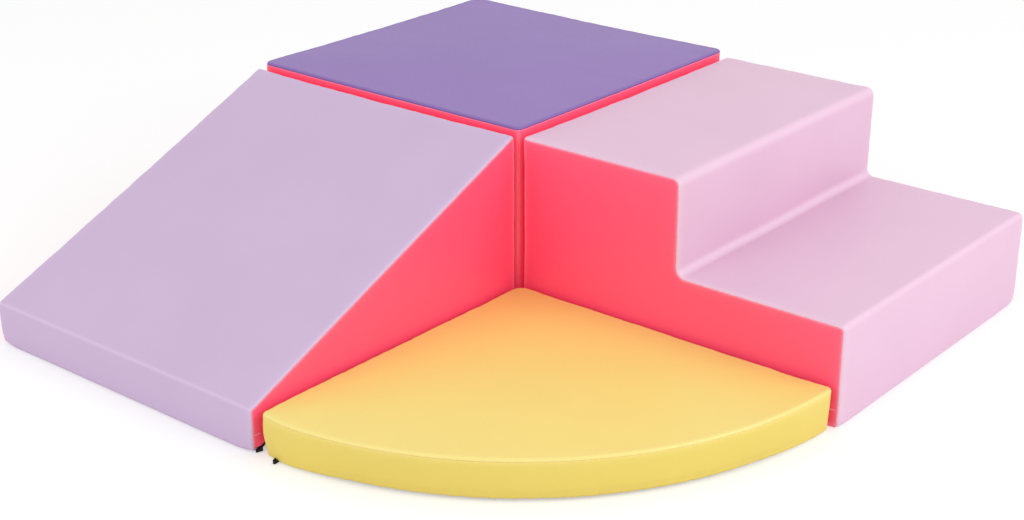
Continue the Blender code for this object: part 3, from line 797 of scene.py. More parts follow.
def leather_material(name, colour, painted_edge_colour, painted_seam_colour, roughness=0.42, gloss=0.5, glow=0.0):
    """Coated leather: a fine pebble grain, slow changes of tone and creases square to the seams. Beside
    each sewn edge and along each fold it has painted light in its edge colour, and in each seam groove
    painted light in its seam colour: a painted highlight where that colour is paler, painted shade where
    it is darker. glow is a painted glow, an emission in the leather's own colour that lifts its shade."""
    made, tree, main = shader(name, colour, roughness)
    main.inputs["Specular IOR Level"].default_value = gloss
    # Painted glow: an emission in the leather's own colour that lifts its shaded sides
    main.inputs["Emission Color"].default_value = rgba(colour, PAINTED_GLOW_POWER)
    main.inputs["Emission Strength"].default_value = glow
    made.cycles.emission_sampling = "NONE"
    place = coordinates(tree)
    slow = noise_at(tree, place, 7.0, 3.0)
    cells = cells_at(tree, place, 850.0, "SMOOTH_F1")
    wrinkles = noise_at(tree, place, 160.0, 4.0)
    away = maths(tree, "SUBTRACT", attribute(tree, "seam_distance"), SEAM_SETBACK)
    away = maths(tree, "MAXIMUM", away, 0.0)
    crease = noise_at(tree, attribute(tree, "seam_near", "Vector"), 230.0, 2.0)
    creased = times(tree, crease, fading(tree, away, CREASE_RATE))
    # Painted highlight along folds, and painted light beside sewn edges: a highlight, or shade where the
    # edge colour is darker
    fold_highlight = times(tree, attribute(tree, "fold"), FOLD_HIGHLIGHT_SHARE)
    painted_edge_mask = maths(tree, "MAXIMUM", fading(tree, away, EDGE_PAINT_RATE), fold_highlight)
    # Painted light in the seam grooves: shade, or a highlight where the seam colour is paler, with dots
    # along it
    painted_seam_mask = fading(tree, away, PAINTED_SEAM_RATE)
    darker, lighter = [c * DARK_TONE for c in colour], [min(1, c * LIGHT_TONE) for c in colour]
    tone = mixed(tree, slow, darker, lighter)
    tone = mixed(tree, times(tree, painted_edge_mask, EDGE_PAINT_SHARE), tone, painted_edge_colour)
    dots = times(tree, maths(tree, "GREATER_THAN", crease, STITCH_THRESHOLD), STITCH_SHARE)
    painted_seam_tone = mixed(tree, dots, painted_seam_colour, painted_edge_colour)
    tone = mixed(tree, times(tree, painted_seam_mask, PAINTED_SEAM_SHARE), tone, painted_seam_tone)
    tree.links.new(tone, main.inputs["Base Color"])
    rough = plus(tree, times(tree, wrinkles, 0.12), roughness - 0.06)
    rough = maths(tree, "SUBTRACT", rough, times(tree, painted_edge_mask, 0.06))
    tree.links.new(rough, main.inputs["Roughness"])
    height = plus(tree, times(tree, cells, GRAIN_HEIGHT), times(tree, wrinkles, WRINKLE_HEIGHT))
    bumped(tree, main, plus(tree, height, times(tree, creased, CREASE_HEIGHT)))
    return made


def foam_material(name, colour):
    """Open-cell foam: pores of two sizes."""
    made, tree, main = shader(name, colour, 0.95)
    place = coordinates(tree)
    pores = plus(tree, cells_at(tree, place, 700.0), times(tree, cells_at(tree, place, 1900.0), 0.5))
    tree.links.new(mixed(tree, pores, [c * 0.82 for c in colour], colour), main.inputs["Base Color"])
    bumped(tree, main, times(tree, pores, PORE_DEPTH))
    return made


def woven_material(name, colour, pitch, depth, roughness=0.85):
    """Woven cloth or tape: threads that cross at an even pitch, with lint between them."""
    made, tree, main = shader(name, colour, roughness)
    place = coordinates(tree)
    scale = math.tau / (pitch * WAVE_PHASE)
    weave = None
    for direction in "XYZ":
        settings = {"bands_direction": direction, "wave_profile": "SIN"}
        wave = node(tree, "ShaderNodeTexWave", settings, Vector=place, Scale=scale).outputs["Fac"]
        weave = wave if weave is None else plus(tree, weave, wave)
    light = [min(1, c * 1.5 + 0.03) for c in colour]
    share = times(tree, weave, times(tree, noise_at(tree, place, 420.0, 3.0), 0.5))
    tree.links.new(mixed(tree, share, colour, light), main.inputs["Base Color"])
    bumped(tree, main, times(tree, weave, depth))
    return made


def lacquer_material(name, colour, roughness):
    """Lacquered metal or moulded plastic, with faint scuffs."""
    made, tree, main = shader(name, colour, roughness)
    scuff = noise_at(tree, coordinates(tree), 900.0, 4.0)
    tree.links.new(mixed(tree, scuff, colour, [c * 1.8 for c in colour]), main.inputs["Base Color"])
    rough = plus(tree, times(tree, scuff, 0.2), roughness - 0.1)
    tree.links.new(rough, main.inputs["Roughness"])
    bumped(tree, main, times(tree, scuff, SCUFF_DEPTH))
    return made


# The second colour of each leather is painted light beside its sewn edges and along its folds, the third
# painted light in its seam grooves: a painted highlight where a colour is paler than the leather, painted
# shade where it is darker. The coral's glow is a painted glow.
CORAL = leather_material(
    "coral_leather", (1.0, 0.345, 0.49), (1.0, 0.45, 0.58), (1.0, 0.55, 0.66), glow=0.09,
)
PURPLE = leather_material(
    "purple_leather", (0.565, 0.45, 0.715), (0.49, 0.37, 0.66), (0.42, 0.26, 0.58), 0.45, 0.35,
)
LAVENDER = leather_material("lavender_leather", (0.80, 0.70, 0.83), (0.86, 0.78, 0.89), (0.86, 0.52, 0.68))
PINK = leather_material("pink_leather", (0.89, 0.74, 0.835), (0.95, 0.82, 0.90), (0.93, 0.56, 0.70))
YELLOW = leather_material("yellow_leather", (0.955, 0.872, 0.49), (0.97, 0.90, 0.60), (0.94, 0.84, 0.50))
# A darker copy of the yellow leather for the mat's walls, as painted shade on its sides
SHADED_BAND_YELLOW = leather_material(
    "yellow_leather_band_painted_shade", (0.912, 0.815, 0.39), (0.96, 0.88, 0.50), (0.94, 0.84, 0.50),
)
FOAM = foam_material("foam", (0.93, 0.93, 0.90))
BASE_CLOTH = woven_material("base_cloth", (0.05, 0.05, 0.055), 0.0011, 0.00010)
TAPE_BLACK = woven_material("hook_and_loop_tape", (0.07, 0.07, 0.08), 0.0007, 0.00008, 0.95)
ZIP_CLOTH = woven_material("zip_tape", (0.035, 0.035, 0.04), 0.0006, 0.00006)
ZIP_NYLON = lacquer_material("zip_nylon", (0.045, 0.045, 0.05), 0.45)
METAL_BLACK = lacquer_material("zip_metal", (0.05, 0.05, 0.055), 0.30)
THREAD = woven_material("thread", (1.0, 0.62, 0.66), 0.0004, 0.00003, 0.6)


# The four covers

def turned(x, y, turn=0.0):
    return Matrix.Translation(MEETING + Vector((x, y, 0))) @ Matrix.Rotation(turn, 4, "Z")


def upright_seams(outline, height):
    """The top's seam side by side, and the seams down the corners."""
    seam_at = height - SEWN_EDGE_RADIUS
    steps = round((seam_at - FOOT) / SPACING)
    heights = [FOOT + (seam_at - FOOT) * step / steps for step in range(steps + 1)]
    seams = []
    for first, last in stretches(outline):
        samples = slice_of(outline.samples, first, last)
        seams.append(tree_of([upright(s.point, seam_at) for s in samples]))
        seams.append(tree_of([upright(samples[0].point, at) for at in heights]))
    return seams


def upright_sheets(outline, height, zip_wall, zip_low, zip_high):
    """The top's sheet and the sheets of the walls between the corners. The zip's wall is open at its
    foot between two places along x."""
    first_lean = SEAM_SETBACK / SEWN_EDGE_RADIUS
    top = lidded(outline, turn_levels(height, 1, SEWN_EDGE_RADIUS, first_lean=first_lean), upright)
    levels = foot_turn()
    flap, high = FLAP_HEIGHT + ROLL, height - SEWN_EDGE_RADIUS - SEAM_SETBACK
    levels += [Level(along, 0) for along in graded(levels[-1].along, flap)[1:]]
    flap_row = len(levels) - 1
    levels += [Level(along, 0) for along in graded(flap, high)[1:]]
    rings = [ring(outline, level, upright) for level in levels]
    walls = []
    for number, (first, last) in enumerate(stretches(outline)):
        rows = [slice_of(points, first, last) for points in rings]
        notch = None
        if number == zip_wall:
            columns = [c for c, point in enumerate(rows[-1]) if zip_low < point.x < zip_high]
            notch = (columns[0], columns[-1], flap_row)
        walls.append(strip(rows, notch))
    return top, walls


def filling_of(outline, low, high, to_3d):
    return blank_filling(outline, low, high, to_3d)


def slab(block, name, outline, levels, to_3d, look, slot, node_name):
    """A closed body on an outline, which follows the cover's drawn corners."""
    bm = bmesh.new()
    rings = [ring(outline, level, to_3d) for level in levels]
    closed_rings(bm, [[point + draw_move(block, point) for point in points] for points in rings])
    for vert in bm.verts:
        vert.co.z = max(vert.co.z, CLOTH_LOW)
    return closed_piece(bm, block.place, name, look, block.name, slot, node_name)


def foam(block, name, outline, low, high, to_3d, inset=FOAM_INSET):
    levels = slab_levels(low, high, inset, FOAM_RIM)
    made = slab(block, f"{name}_foam_body", outline, levels, to_3d, FOAM, "foam", name)


def base_layers(block, name, layer, cloth):
    """The foam's lowest layer and the base cloth, each on its own outline."""
    foam(block, f"{name}_foam_base_layer", layer, LAYER_LOW, LAYER_HIGH, upright, 0)
    levels = slab_levels(CLOTH_LOW, CLOTH_HIGH, 0, CLOTH_RIM)
    node_name = f"{name}_base_cloth"
    slab(block, f"{node_name}_woven", cloth, levels, upright, BASE_CLOTH, "base_cloth", node_name)


def rectangle(x_low, y_low, x_high, y_high, radii=(PLAN_CORNER_RADIUS,) * 4):
    """A rectangle with rounded corners."""
    corners = [(x_low, y_low), (x_high, y_low), (x_high, y_high), (x_low, y_high)]
    return rounded_outline(corners, radii)


def build_corner():
    outline = rectangle(0, 0, SIDE, SIDE)
    block = Block(
        "corner_block", turned(-HALF_GAP - SIDE, HALF_GAP), Vector((SIDE, SIDE, CORNER_HEIGHT)) / 2,
        upright_seams(outline, CORNER_HEIGHT), filling_of(outline, 0, CORNER_HEIGHT, upright),
        [Vector((0, -1, 0)), Vector((1, 0, 0))], [],
    )
    margin = ZIP_OPEN_MARGIN
    top, walls = upright_sheets(outline, CORNER_HEIGHT, 2, margin, SIDE - margin)
    panel(block, "corner_top_panel", top, PURPLE, "purple_leather")
    for name, wall in zip(("to_ramp", "to_steps", "back", "left"), walls):
        panel(block, f"corner_side_{name}", wall, CORAL, "coral_leather")
    foam(block, "corner_foam_core", outline, CORE_LOW, CORNER_HEIGHT - FOAM_INSET, upright)
    inset, cloth_inset = FOAM_INSET, WALL_CLOTH_INSET
    layer = rectangle(inset, inset, SIDE - inset, SIDE - ZIP_RECESS)
    cloth = rectangle(cloth_inset, cloth_inset, SIDE - cloth_inset, SIDE - cloth_inset)
    base_layers(block, "corner", layer, cloth)
    build_block_zip(block, "corner", SIDE)


def mat_draws():
    """The mat's two front corners, of which one is drawn in, more so at the foot, and the other stands
    out, and the foot of its arc, drawn in and up."""
    near, far = MAT_CORNER_RADIUS / 2, MAT_RADIUS - MAT_CORNER_RADIUS / 2
    from_ramp, from_steps = Vector((-0.8, 0.6, 0)), Vector((0.6, -0.8, 0))
    draws = [
        Draw(Vector((far, near, MAT_HEIGHT)), from_ramp, MAT_TOP_DRAW, MAT_DRAW_REACH),
        Draw(Vector((far, near, 0)), from_ramp, MAT_FOOT_DRAW, MAT_DRAW_REACH),
        Draw(Vector((near, far, MAT_HEIGHT)), -from_steps, MAT_BACK_DRAW, MAT_DRAW_REACH),
        Draw(Vector((near, far, 0)), from_steps, MAT_BACK_DRAW, MAT_DRAW_REACH),
    ]
    for number in range(1, ARC_DRAWS):
        angle = QUARTER_TURN * number / ARC_DRAWS
        out = Vector((math.cos(angle), math.sin(angle), 0))
        size = ARC_DRAW_SIZE * min(1, number / ARC_DRAWS_FADE, (ARC_DRAWS - number) / ARC_DRAWS_FADE)
        way = (Vector((0, 0, 1)) - out) * ARC_DRAW_SLANT
        draws.append(Draw(out * MAT_RADIUS, way, size, ARC_DRAW_REACH))
    return draws


def build_mat():
    outline = quarter_outline(MAT_RADIUS, 0, 0)
    block = Block(
        "mat", turned(HALF_GAP, -HALF_GAP, -QUARTER_TURN), Vector((SIDE / 2, SIDE / 2, MAT_HEIGHT)) / 2,
        upright_seams(outline, MAT_HEIGHT), filling_of(outline, 0, MAT_HEIGHT, upright),
        [Vector((0, -1, 0)), Vector((-1, 0, 0))], mat_draws(),
    )
    zip_end = MAT_RADIUS - MAT_ZIP_OPEN_MARGIN
    top, walls = upright_sheets(outline, MAT_HEIGHT, 2, MAT_INNER_RADIUS, zip_end)
    panel(block, "mat_top_panel", top, YELLOW, "yellow_leather")
    for name, wall in zip(("arc_band", "band_to_steps", "band_to_ramp"), walls):
        panel(block, f"mat_{name}", wall, SHADED_BAND_YELLOW, "yellow_leather")
    foam(block, "mat_foam_core", outline, CORE_LOW, MAT_HEIGHT - FOAM_INSET, upright)
    layer = quarter_outline(MAT_RADIUS - FOAM_INSET, ZIP_RECESS, FOAM_INSET)
    inset = WALL_CLOTH_INSET
    base_layers(block, "mat", layer, quarter_outline(MAT_RADIUS - inset, inset, inset))
    run_end = MAT_RADIUS - MAT_ZIP_SETBACK
    half_run = (run_end - MAT_INNER_RADIUS) / 2
    middle = Vector((MAT_INNER_RADIUS + half_run, ZIP_RECESS, 0))
    build_zip(block, "mat", middle, math.pi, half_run - ZIP_END_MARGIN, MAT_TAB)


def crosswise_seams(outline):
    """The seams round both sides, and the one across the back's top edge."""
    inner = [s.point - s.normal * SEWN_EDGE_RADIUS for s in outline.samples]
    seams = []
    for at in (0, SIDE):
        for first, last in stretches(outline):
            seams.append(tree_of([crosswise(point, at) for point in slice_of(inner, first, last)]))
    steps = round(SIDE / SPACING)
    corner = outline.samples[outline.middles[-1]].point
    seams.append(tree_of([crosswise(corner, SIDE * step / steps) for step in range(steps + 1)]))
    return seams


def crosswise_sheets(outline, plain, flapped):
    """The sheets of the wrap, of the back and of the low and the high side."""
    last_lean = QUARTER_TURN - SEAM_SETBACK / SEWN_EDGE_RADIUS
    levels = turn_levels(0, -1, SEWN_EDGE_RADIUS, last_lean=last_lean)[::-1]
    inner = graded(SEWN_EDGE_RADIUS, SIDE - SEWN_EDGE_RADIUS)[1:-1]
    levels += [Level(along, 0) for along in inner]
    levels += turn_levels(SIDE, 1, SEWN_EDGE_RADIUS, last_lean=last_lean)
    rings = [ring(outline, level, crosswise) for level in levels]
    under = round(FOOT_UNDER / SPACING)
    back_top = outline.middles[-1]
    front_start = outline.middles[1] - outline.halves[1] - under
    back_end = outline.middles[0] + outline.halves[0] + under
    # A fold's share sets the painted highlight along it
    folds = {}
    for middle, half in list(zip(outline.middles, outline.halves))[2:-1]:
        for step in range(-half, half + 1):
            folds[middle + step - front_start] = math.cos(QUARTER_TURN * step / half) ** 2
    wrap = strip([slice_of(row, front_start, back_top) for row in rings], folds=folds)
    back = strip([slice_of(row, back_top, back_end) for row in rings])
    inset = SEWN_EDGE_RADIUS + SEAM_SETBACK
    low = lidded(plain, [Level(0, inset)], crosswise)
    high = lidded(flapped, [Level(SIDE, inset)], crosswise)
    return wrap, back, low, high


def flat_foot(length, foot):
    """The bottom of a profile, from its back to its front, and its corners' radii."""
    return [(0, foot), (length, foot)], [FOOT_RADIUS, FOOT_RADIUS]


def flap_foot(length):
    """The bottom of a side over the zip: a flap that comes lower beside the front corner, where the
    pull doesn't swing. A side's sheet is drawn in by the sewn edge, so its outline is that much wider."""
    high, low = FLAP_HEIGHT - SEWN_EDGE_RADIUS, LOW_FLAP_HEIGHT - SEWN_EDGE_RADIUS
    step = length - FLAP_STEP - SEWN_EDGE_RADIUS
    points = [(0, high), (step - FLAP_STEP_WIDTH, high), (step, low), (length, low)]
    return points, [FOOT_RADIUS, FLAP_STEP_RADIUS, FOOT_RADIUS, FOOT_RADIUS]


def ramp_outline(bottom):
    points, radii = bottom
    corners = points + [(RAMP_LENGTH, TOE_HEIGHT), (0, RAMP_HEIGHT)]
    return rounded_outline(corners, radii + [TOE_FOLD_RADIUS, BACK_EDGE_RADIUS])


def steps_outline(bottom):
    points, radii = bottom
    corners = points + [
        (STEPS_LENGTH, TREAD_HEIGHT), (TOP_TREAD_DEPTH, TREAD_HEIGHT),
        (TOP_TREAD_DEPTH, STEPS_HEIGHT), (0, STEPS_HEIGHT),
    ]
    folds = [FRONT_NOSING_RADIUS, INNER_FOLD_RADIUS, TOP_NOSING_RADIUS, BACK_EDGE_RADIUS]
    return rounded_outline(corners, radii + folds)


def toe_draws(length, size):
    """The two lower corners of a block's front, drawn in and up."""
    draws = []
    for across, way in ((0, 1), (SIDE, -1)):
        inward = Vector((-0.6, 0.6 * way, 0.5))
        draws.append(Draw(Vector((length, across, 0)), inward, size, TOE_DRAW_REACH))
    return draws


def build_profile_block(name, place, length, outline_at, centre, wrap, high_is_inner, drawn):
    """The cover of the ramp or the steps. wrap is the name and the leather of its main panel, and
    drawn is how far the front's lower corners are drawn in."""
    outline = outline_at(flat_foot(length, FOOT))
    plain, flapped = outline_at(flat_foot(length, FOOT - SEWN_EDGE_RADIUS)), outline_at(flap_foot(length))
    block = Block(
        name, place, centre, crosswise_seams(outline),
        filling_of(outline, 0, SIDE, crosswise), [Vector((-1, 0, 0))], toe_draws(length, drawn),
    )
    wrap_sheet, back_sheet, low_sheet, high_sheet = crosswise_sheets(outline, plain, flapped)
    wrap_name, wrap_leather, wrap_slot = wrap
    low_name, high_name = ("outer", "inner") if high_is_inner else ("inner", "outer")
    panel(block, wrap_name, wrap_sheet, wrap_leather, wrap_slot)
    panel(block, f"{name}_back_panel", back_sheet, CORAL, "coral_leather")
    panel(block, f"{name}_side_{low_name}", low_sheet, CORAL, "coral_leather")
    panel(block, f"{name}_side_{high_name}", high_sheet, CORAL, "coral_leather")
    inset = FOAM_INSET
    layer = rectangle(inset, inset, length - inset, SIDE - ZIP_RECESS)
    ends, sides = FOOT_CLOTH_INSET, FLAT_CLOTH_INSET
    cloth = rectangle(ends, sides, length - ends, SIDE - ZIP_RECESS)
    base_layers(block, name, layer, cloth)
    return block


def build_ramp():
    place = turned(-HALF_GAP - SIDE, -HALF_GAP, -QUARTER_TURN)
    centre = Vector((SIDE / 3, SIDE / 2, RAMP_HEIGHT / 3))
    wrap = ("ramp_slope_panel", LAVENDER, "lavender_leather")
    block = build_profile_block(
        "ramp", place, RAMP_LENGTH, ramp_outline, centre, wrap, True, RAMP_TOE_DRAW,
    )
    core = ramp_outline(flat_foot(RAMP_LENGTH, CORE_LOW - FOAM_INSET))
    foam(block, "ramp_foam_core", core, FOAM_INSET, SIDE - FOAM_INSET, crosswise)
    tab = [(RAMP_LENGTH + x, SIDE + y) for x, y in RAMP_TAB]
    build_block_zip(block, "ramp", RAMP_LENGTH, tab)
    bar_tack(block, "ramp", RAMP_LENGTH, SIDE, 1)


def build_steps():
    place = turned(HALF_GAP, HALF_GAP)
    centre = Vector((TOP_TREAD_DEPTH / 2, SIDE / 2, TREAD_HEIGHT / 2))
    wrap = ("steps_tread_wrap", PINK, "pink_leather")
    block = build_profile_block(
        "steps", place, STEPS_LENGTH, steps_outline, centre, wrap, False, STEPS_TOE_DRAW,
    )
    low, split = CORE_LOW - FOAM_INSET, TREAD_HEIGHT
    radii = [FOOT_RADIUS, FOOT_RADIUS, FRONT_NOSING_RADIUS, FOOT_RADIUS]
    lower = rectangle(0, low, STEPS_LENGTH, split, radii)
    foam(block, "steps_lower_foam", lower, FOAM_INSET, SIDE - FOAM_INSET, crosswise)
    seat = split - 2 * FOAM_INSET + SEAM_PLAY
    radii = [FOOT_RADIUS, FOOT_RADIUS, TOP_NOSING_RADIUS, BACK_EDGE_RADIUS]
    upper = rectangle(0, seat, TOP_TREAD_DEPTH, STEPS_HEIGHT, radii)
    foam(block, "steps_upper_foam", upper, FOAM_INSET, SIDE - FOAM_INSET, crosswise)
    build_block_zip(block, "steps", STEPS_LENGTH)
    bar_tack(block, "steps", STEPS_LENGTH, 0, -1)


# Zips, tapes and threads

def swept(bm, path, section):
    """A bar along points in plan. Its section holds depths to the left of the path, and heights."""
    rings = []
    for here, point in enumerate(path):
        way = (path[min(here + 1, len(path) - 1)] - path[max(here - 1, 0)]).normalized()
        left = Vector((-way.y, way.x))
        rings.append([(*(point + left * depth), height) for depth, height in section])
    closed_rings(bm, rings)


def smooth_path(points, steps=4):
    """A smooth line in plan through points."""
    line = []
    for here in range(len(points) - 1):
        four = [Vector(points[min(max(n, 0), len(points) - 1)]) for n in range(here - 1, here + 3)]
        for step in range(steps):
            t = step / steps
            a, b, c, d = four
            line.append(0.5 * (2 * b + (c - a) * t + (2 * a - 5 * b + 4 * c - d) * t ** 2
                               + (3 * b - a - 3 * c + d) * t ** 3))
    return line + [Vector(points[-1])]


def tape_section(low, high, back):
    """A tape's section, with a bead along both of its edges."""
    front, bead = back + ZIP_TAPE_THICKNESS - BEAD, back + ZIP_TAPE_THICKNESS + BEAD
    return [
        (back, low), (bead, low), (bead, low + BEAD_HEIGHT / 2), (front, low + BEAD_HEIGHT),
        (front, high - BEAD_HEIGHT), (bead, high - BEAD_HEIGHT / 2), (bead, high), (back, high),
    ]


def build_zip(block, name, middle, turn, half_length, tab=None):
    """The zip's tape, with the folded end that shows at the foot, and the chain with its teeth."""
    in_block = Matrix.Translation(middle) @ Matrix.Rotation(turn, 4, "Z")
    line = [Vector((half_length * share, 0)) for share in np.linspace(-1, 1, ZIP_STEPS)]
    bm = bmesh.new()
    swept(bm, line, tape_section(ZIP_TAPE_LOW, ZIP_TAPE_HIGH, ZIP_TAPE_BACK))
    bmesh.ops.transform(bm, matrix=in_block, verts=bm.verts)
    if tab:
        swept(bm, smooth_path(tab), tape_section(TAB_LOW, TAB_HIGH, -ZIP_TAPE_THICKNESS / 2))
    node_name = f"{name}_zip_tape"
    closed_piece(bm, block.place, f"{node_name}_woven", ZIP_CLOTH, block.name, "zip_tape", node_name)

    bm = bmesh.new()
    centre, front = (ZIP_TAPE_LOW + ZIP_TAPE_HIGH) / 2, CHAIN_BACK + CHAIN_CORD
    for side in (-1, 1):
        edge = centre + side * (CHAIN_HALF_WIDTH - CHAIN_CORD / 2)
        low, high = edge - CHAIN_CORD / 2, edge + CHAIN_CORD / 2
        swept(bm, line, [(CHAIN_BACK, low), (front, low), (front, high), (CHAIN_BACK, high)])
    for number in range(int(2 * half_length / TOOTH_PITCH)):
        along = (number + 0.5) * TOOTH_PITCH - half_length
        tooth(bm, along, centre, 1 if number % 2 else -1)
    node_name, place = f"{name}_zip_chain", block.place @ in_block
    closed_piece(bm, place, f"{node_name}_teeth", ZIP_NYLON, block.name, "zip_chain", node_name)


def tooth(bm, along, centre, side):
    """One element of the chain, from its cord to just past the middle."""
    rings = []
    for away, wide, deep in TOOTH_SHAPE:
        first, last = along - TOOTH_LENGTH / 2 * wide, along + TOOTH_LENGTH / 2 * wide
        front = CHAIN_BACK + (CHAIN_FRONT - CHAIN_BACK) * deep
        height = centre + side * away
        corners = ((first, CHAIN_BACK), (last, CHAIN_BACK), (last, front), (first, front))
        rings.append([(x, y, height) for x, y in corners])
    closed_rings(bm, rings)


def build_block_zip(block, name, length, tab=None):
    middle = Vector((length / 2, SIDE - ZIP_RECESS, 0))
    build_zip(block, name, middle, 0, length / 2 - PLAN_CORNER_RADIUS - ZIP_END_MARGIN, tab)


def tube(bm, stations, side, other, count):
    """A thin closed body of a few flat sides, through stations of a middle and a radius."""
    angles = [math.tau * step / count for step in range(count)]
    ways = [side * math.cos(angle) + other * math.sin(angle) for angle in angles]
    closed_rings(bm, [[middle + way * radius for way in ways] for middle, radius in stations])


def stitch(bm, start, end, radius):
    """One stitch: a short thread with rounded ends."""
    way = (end - start).normalized()
    side = way.orthogonal().normalized()
    stations = [(start.lerp(end, share), radius * wide) for share, wide in STITCH_SHAPE]
    tube(bm, stations, side, way.cross(side), THREAD_SIDES)


def bar_tack(block, name, length, face, facing):
    """A short row of dense stitches near the foot of the side beside the mat."""
    bm = bmesh.new()
    normal = Vector((0, facing, 0))
    for number in range(int(TACK_LENGTH / TACK_PITCH)):
        along = length - TACK_START + number * TACK_PITCH
        ends = []
        for shift, rise in ((0, -TACK_HALF_WIDTH), (TACK_PITCH, TACK_HALF_WIDTH)):
            point = Vector((along + shift, face, TACK_HEIGHT + rise))
            ends.append(point + cover_move(block, point, normal)[0] + normal * THREAD_RADIUS / 2)
        stitch(bm, *ends, TACK_THREAD_RADIUS)
    closed_piece(bm, block.place, f"{name}_bar_tack", THREAD, block.name, "coral_leather")


def hook(bm, place, bend):
    """One hook: a three-sided stalk whose tip bends over."""
    stations = []
    for rise, lean, wide in HOOK_SHAPE:
        stations.append((place + Vector((bend * lean, 0, rise)), HOOK_RADIUS * wide))
    tube(bm, stations, Vector((1, 0, 0)), Vector((0, 1, 0)), HOOK_SIDES)


def pile(bm, length, height, low, high):
    """A felted pile of loops, as an uneven sheet that drops to the tape at its rim."""
    columns, rows = round(length / PILE_PITCH), round(height / PILE_PITCH)
    grid = []
    for row in range(rows + 1):
        line = []
        for column in range(columns + 1):
            x, y = (column / columns - 0.5) * length, (row / rows - 0.5) * height
            rim = row in (0, rows) or column in (0, columns)
            rise = PILE_SHARE + (1 - PILE_SHARE) * noise.noise(Vector((x, y, 0)) * PILE_NOISE_SCALE)
            line.append(bm.verts.new((x, y, low if rim else low + (high - low) * rise)))
        grid.append(line)
    for first, second in zip(grid, grid[1:]):
        join_rows(bm, first, second, False)


def build_tape(node_name, body, way):
    """A hook or a loop tape: a woven base with rounded corners, its hooks or pile, and the thread
    that sews it on."""
    low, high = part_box(node_name)
    out = Vector((*way, 0))
    along = Vector((-out.y, out.x, 0))
    size = high - low
    length, height, thick = abs(size.dot(along)), size.z, abs(size.dot(out))
    half = Vector((length, height)) / 2
    outline = rectangle(-half.x, -half.y, half.x, half.y, [TAPE_CORNER_RADIUS] * 4)
    bm = bmesh.new()
    back, face = -thick / 2, -thick / 2 + TAPE_BASE
    closed_rings(bm, [ring(outline, level, upright) for level in slab_levels(back, face, 0, TAPE_RIM)])
    inner = Vector((length - 2 * HOOK_MARGIN, height - 2 * HOOK_MARGIN))
    slot = "hook_tape" if "hook_tape" in node_name else "loop_tape"
    if slot == "hook_tape":
        for row in range(int(inner.y / HOOK_PITCH) + 1):
            for column in range(int(inner.x / HOOK_PITCH) + 1):
                place = Vector((column * HOOK_PITCH - inner.x / 2, row * HOOK_PITCH - inner.y / 2, face))
                hook(bm, place, HOOK_PITCH * (HOOK_BEND_SHARE if row % 2 else -HOOK_BEND_SHARE))
    else:
        pile(bm, inner.x, inner.y, face, thick / 2)
    reach = half - Vector((THREAD_MARGIN, THREAD_MARGIN))
    rim = [Vector((x * reach.x, y * reach.y, face)) for x, y in ((-1, -1), (1, -1), (1, 1), (-1, 1))]
    for here in range(4):
        side = rim[(here + 1) % 4] - rim[here]
        count = int(side.length / THREAD_PITCH)
        for number in range(count):
            start = rim[here] + side * (number / count)
            stitch(bm, start, start + side.normalized() * THREAD_LENGTH, THREAD_RADIUS)
    axes = Matrix((along, Vector((0, 0, 1)), out)).transposed().to_4x4()
    place = Matrix.Translation((low + high) / 2) @ axes
    closed_piece(bm, place, f"{node_name}_sewn", TAPE_BLACK, body, slot, node_name)


def build_tapes():
    build_tape("corner_loop_tape_to_ramp", "corner_block", (0, -1))
    build_tape("corner_loop_tape_to_steps", "corner_block", (1, 0))
    build_tape("ramp_hook_tape_to_corner", "ramp", (0, 1))
    build_tape("ramp_loop_tape_to_mat", "ramp", (1, 0))
    build_tape("steps_hook_tape_to_corner", "steps", (-1, 0))
    build_tape("steps_loop_tape_to_mat", "steps", (0, -1))
    build_tape("mat_hook_tape_to_ramp", "mat", (-1, 0))
    build_tape("mat_hook_tape_to_steps", "mat", (0, 1))


def dress_sliders():
    """Rounded edges and lacquer for the sliders and the pulls, which stay as solids."""
    for name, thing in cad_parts.items():
        if name.endswith(("_zip_slider", "_zip_pull")):
            thing.data.materials.clear()
            thing.data.materials.append(METAL_BLACK)
            edges = thing.modifiers.new("edges", "BEVEL")
            edges.width = SLIDER_EDGE
            edges.segments = 2


# Studio

def build_camera():
    data = bpy.data.cameras.new("camera")
    data.sensor_width = SENSOR_WIDTH
    data.lens = FOCAL_PIXELS / IMAGE_WIDTH * SENSOR_WIDTH
    camera = placed("camera", data)
    azimuth, elevation = CAMERA_AZIMUTH, CAMERA_ELEVATION
    level = math.cos(elevation)
    back = Vector((math.sin(azimuth) * level, -math.cos(azimuth) * level, math.sin(elevation)))
    camera.location = CAMERA_PLACE
    camera.rotation_mode = "QUATERNION"
    camera.rotation_quaternion = (-back).to_track_quat("-Z", "Y")
    bpy.context.scene.camera = camera


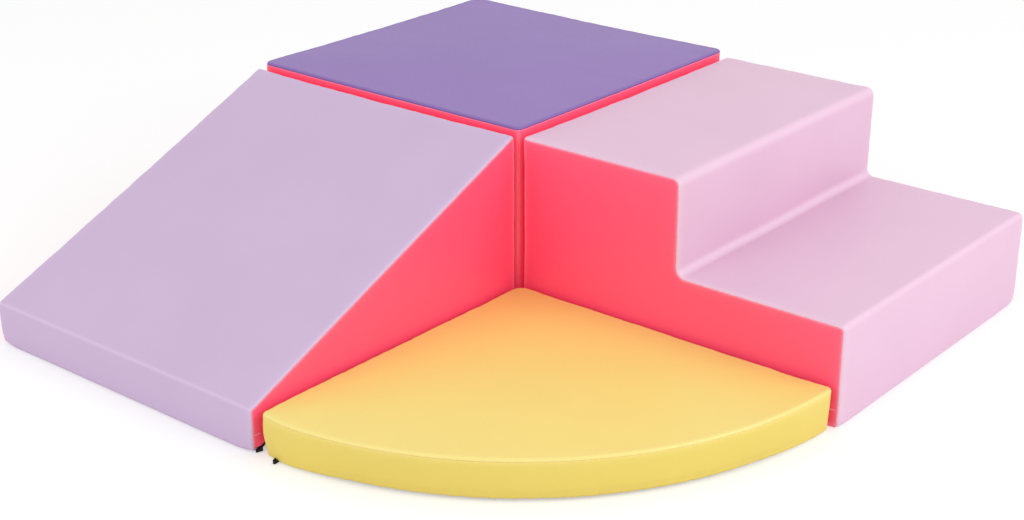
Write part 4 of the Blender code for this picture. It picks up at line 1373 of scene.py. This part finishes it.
def build_light(name, place, size, power):
    """A round lamp that faces the middle of the set."""
    data = bpy.data.lights.new(name, "AREA")
    data.shape = "DISK"
    data.size = size
    data.energy = power
    light = placed(name, data)
    light.location = place
    way = Vector(LIGHT_TARGET) - Vector(place)
    light.rotation_euler = way.to_track_quat("-Z", "Y").to_euler()


def build_world():
    world = bpy.data.worlds.new("studio")
    bpy.context.scene.world = world
    world.use_nodes = True
    tree = world.node_tree
    path = node(tree, "ShaderNodeLightPath")
    seen = maths(tree, "MAXIMUM", path.outputs["Is Camera Ray"], path.outputs["Is Glossy Ray"])
    seen = maths(tree, "MAXIMUM", seen, path.outputs["Is Transmission Ray"])
    strength = plus(tree, times(tree, seen, WORLD_SEEN_EXTRA), WORLD_STRENGTH)
    background = tree.nodes["Background"]
    background.inputs["Color"].default_value = (1, 1, 1, 1)
    tree.links.new(strength, background.inputs["Strength"])


def build_floor():
    """A pale floor that reads as white where no shadow falls."""
    made, tree, main = shader("floor", (0.97, 0.97, 0.97), 0.9)
    path = node(tree, "ShaderNodeLightPath")
    glow = node(tree, "ShaderNodeEmission", Color=(1, 1, 1, 1), Strength=FLOOR_GLOW)
    share = times(tree, path.outputs["Is Camera Ray"], FLOOR_GLOW_SHARE)
    mix = node(tree, "ShaderNodeMixShader")
    tree.links.new(share, mix.inputs[0])
    tree.links.new(main.outputs[0], mix.inputs[1])
    tree.links.new(glow.outputs[0], mix.inputs[2])
    tree.links.new(mix.outputs[0], tree.nodes["Material Output"].inputs["Surface"])
    bm = bmesh.new()
    bmesh.ops.create_circle(bm, cap_ends=True, segments=96, radius=FLOOR_RADIUS)
    floor = placed("floor", mesh_of(bm, "floor"))
    floor.data.materials.append(made)


def build_studio():
    scene = bpy.context.scene
    scene.view_settings.view_transform = "Standard"
    build_camera()
    build_world()
    build_floor()
    build_light("key", KEY_PLACE, KEY_SIZE, KEY_POWER)
    build_light("fill", FILL_PLACE, FILL_SIZE, FILL_POWER)


build_studio()
build_corner()
build_ramp()
build_steps()
build_mat()
build_tapes()
dress_sliders()
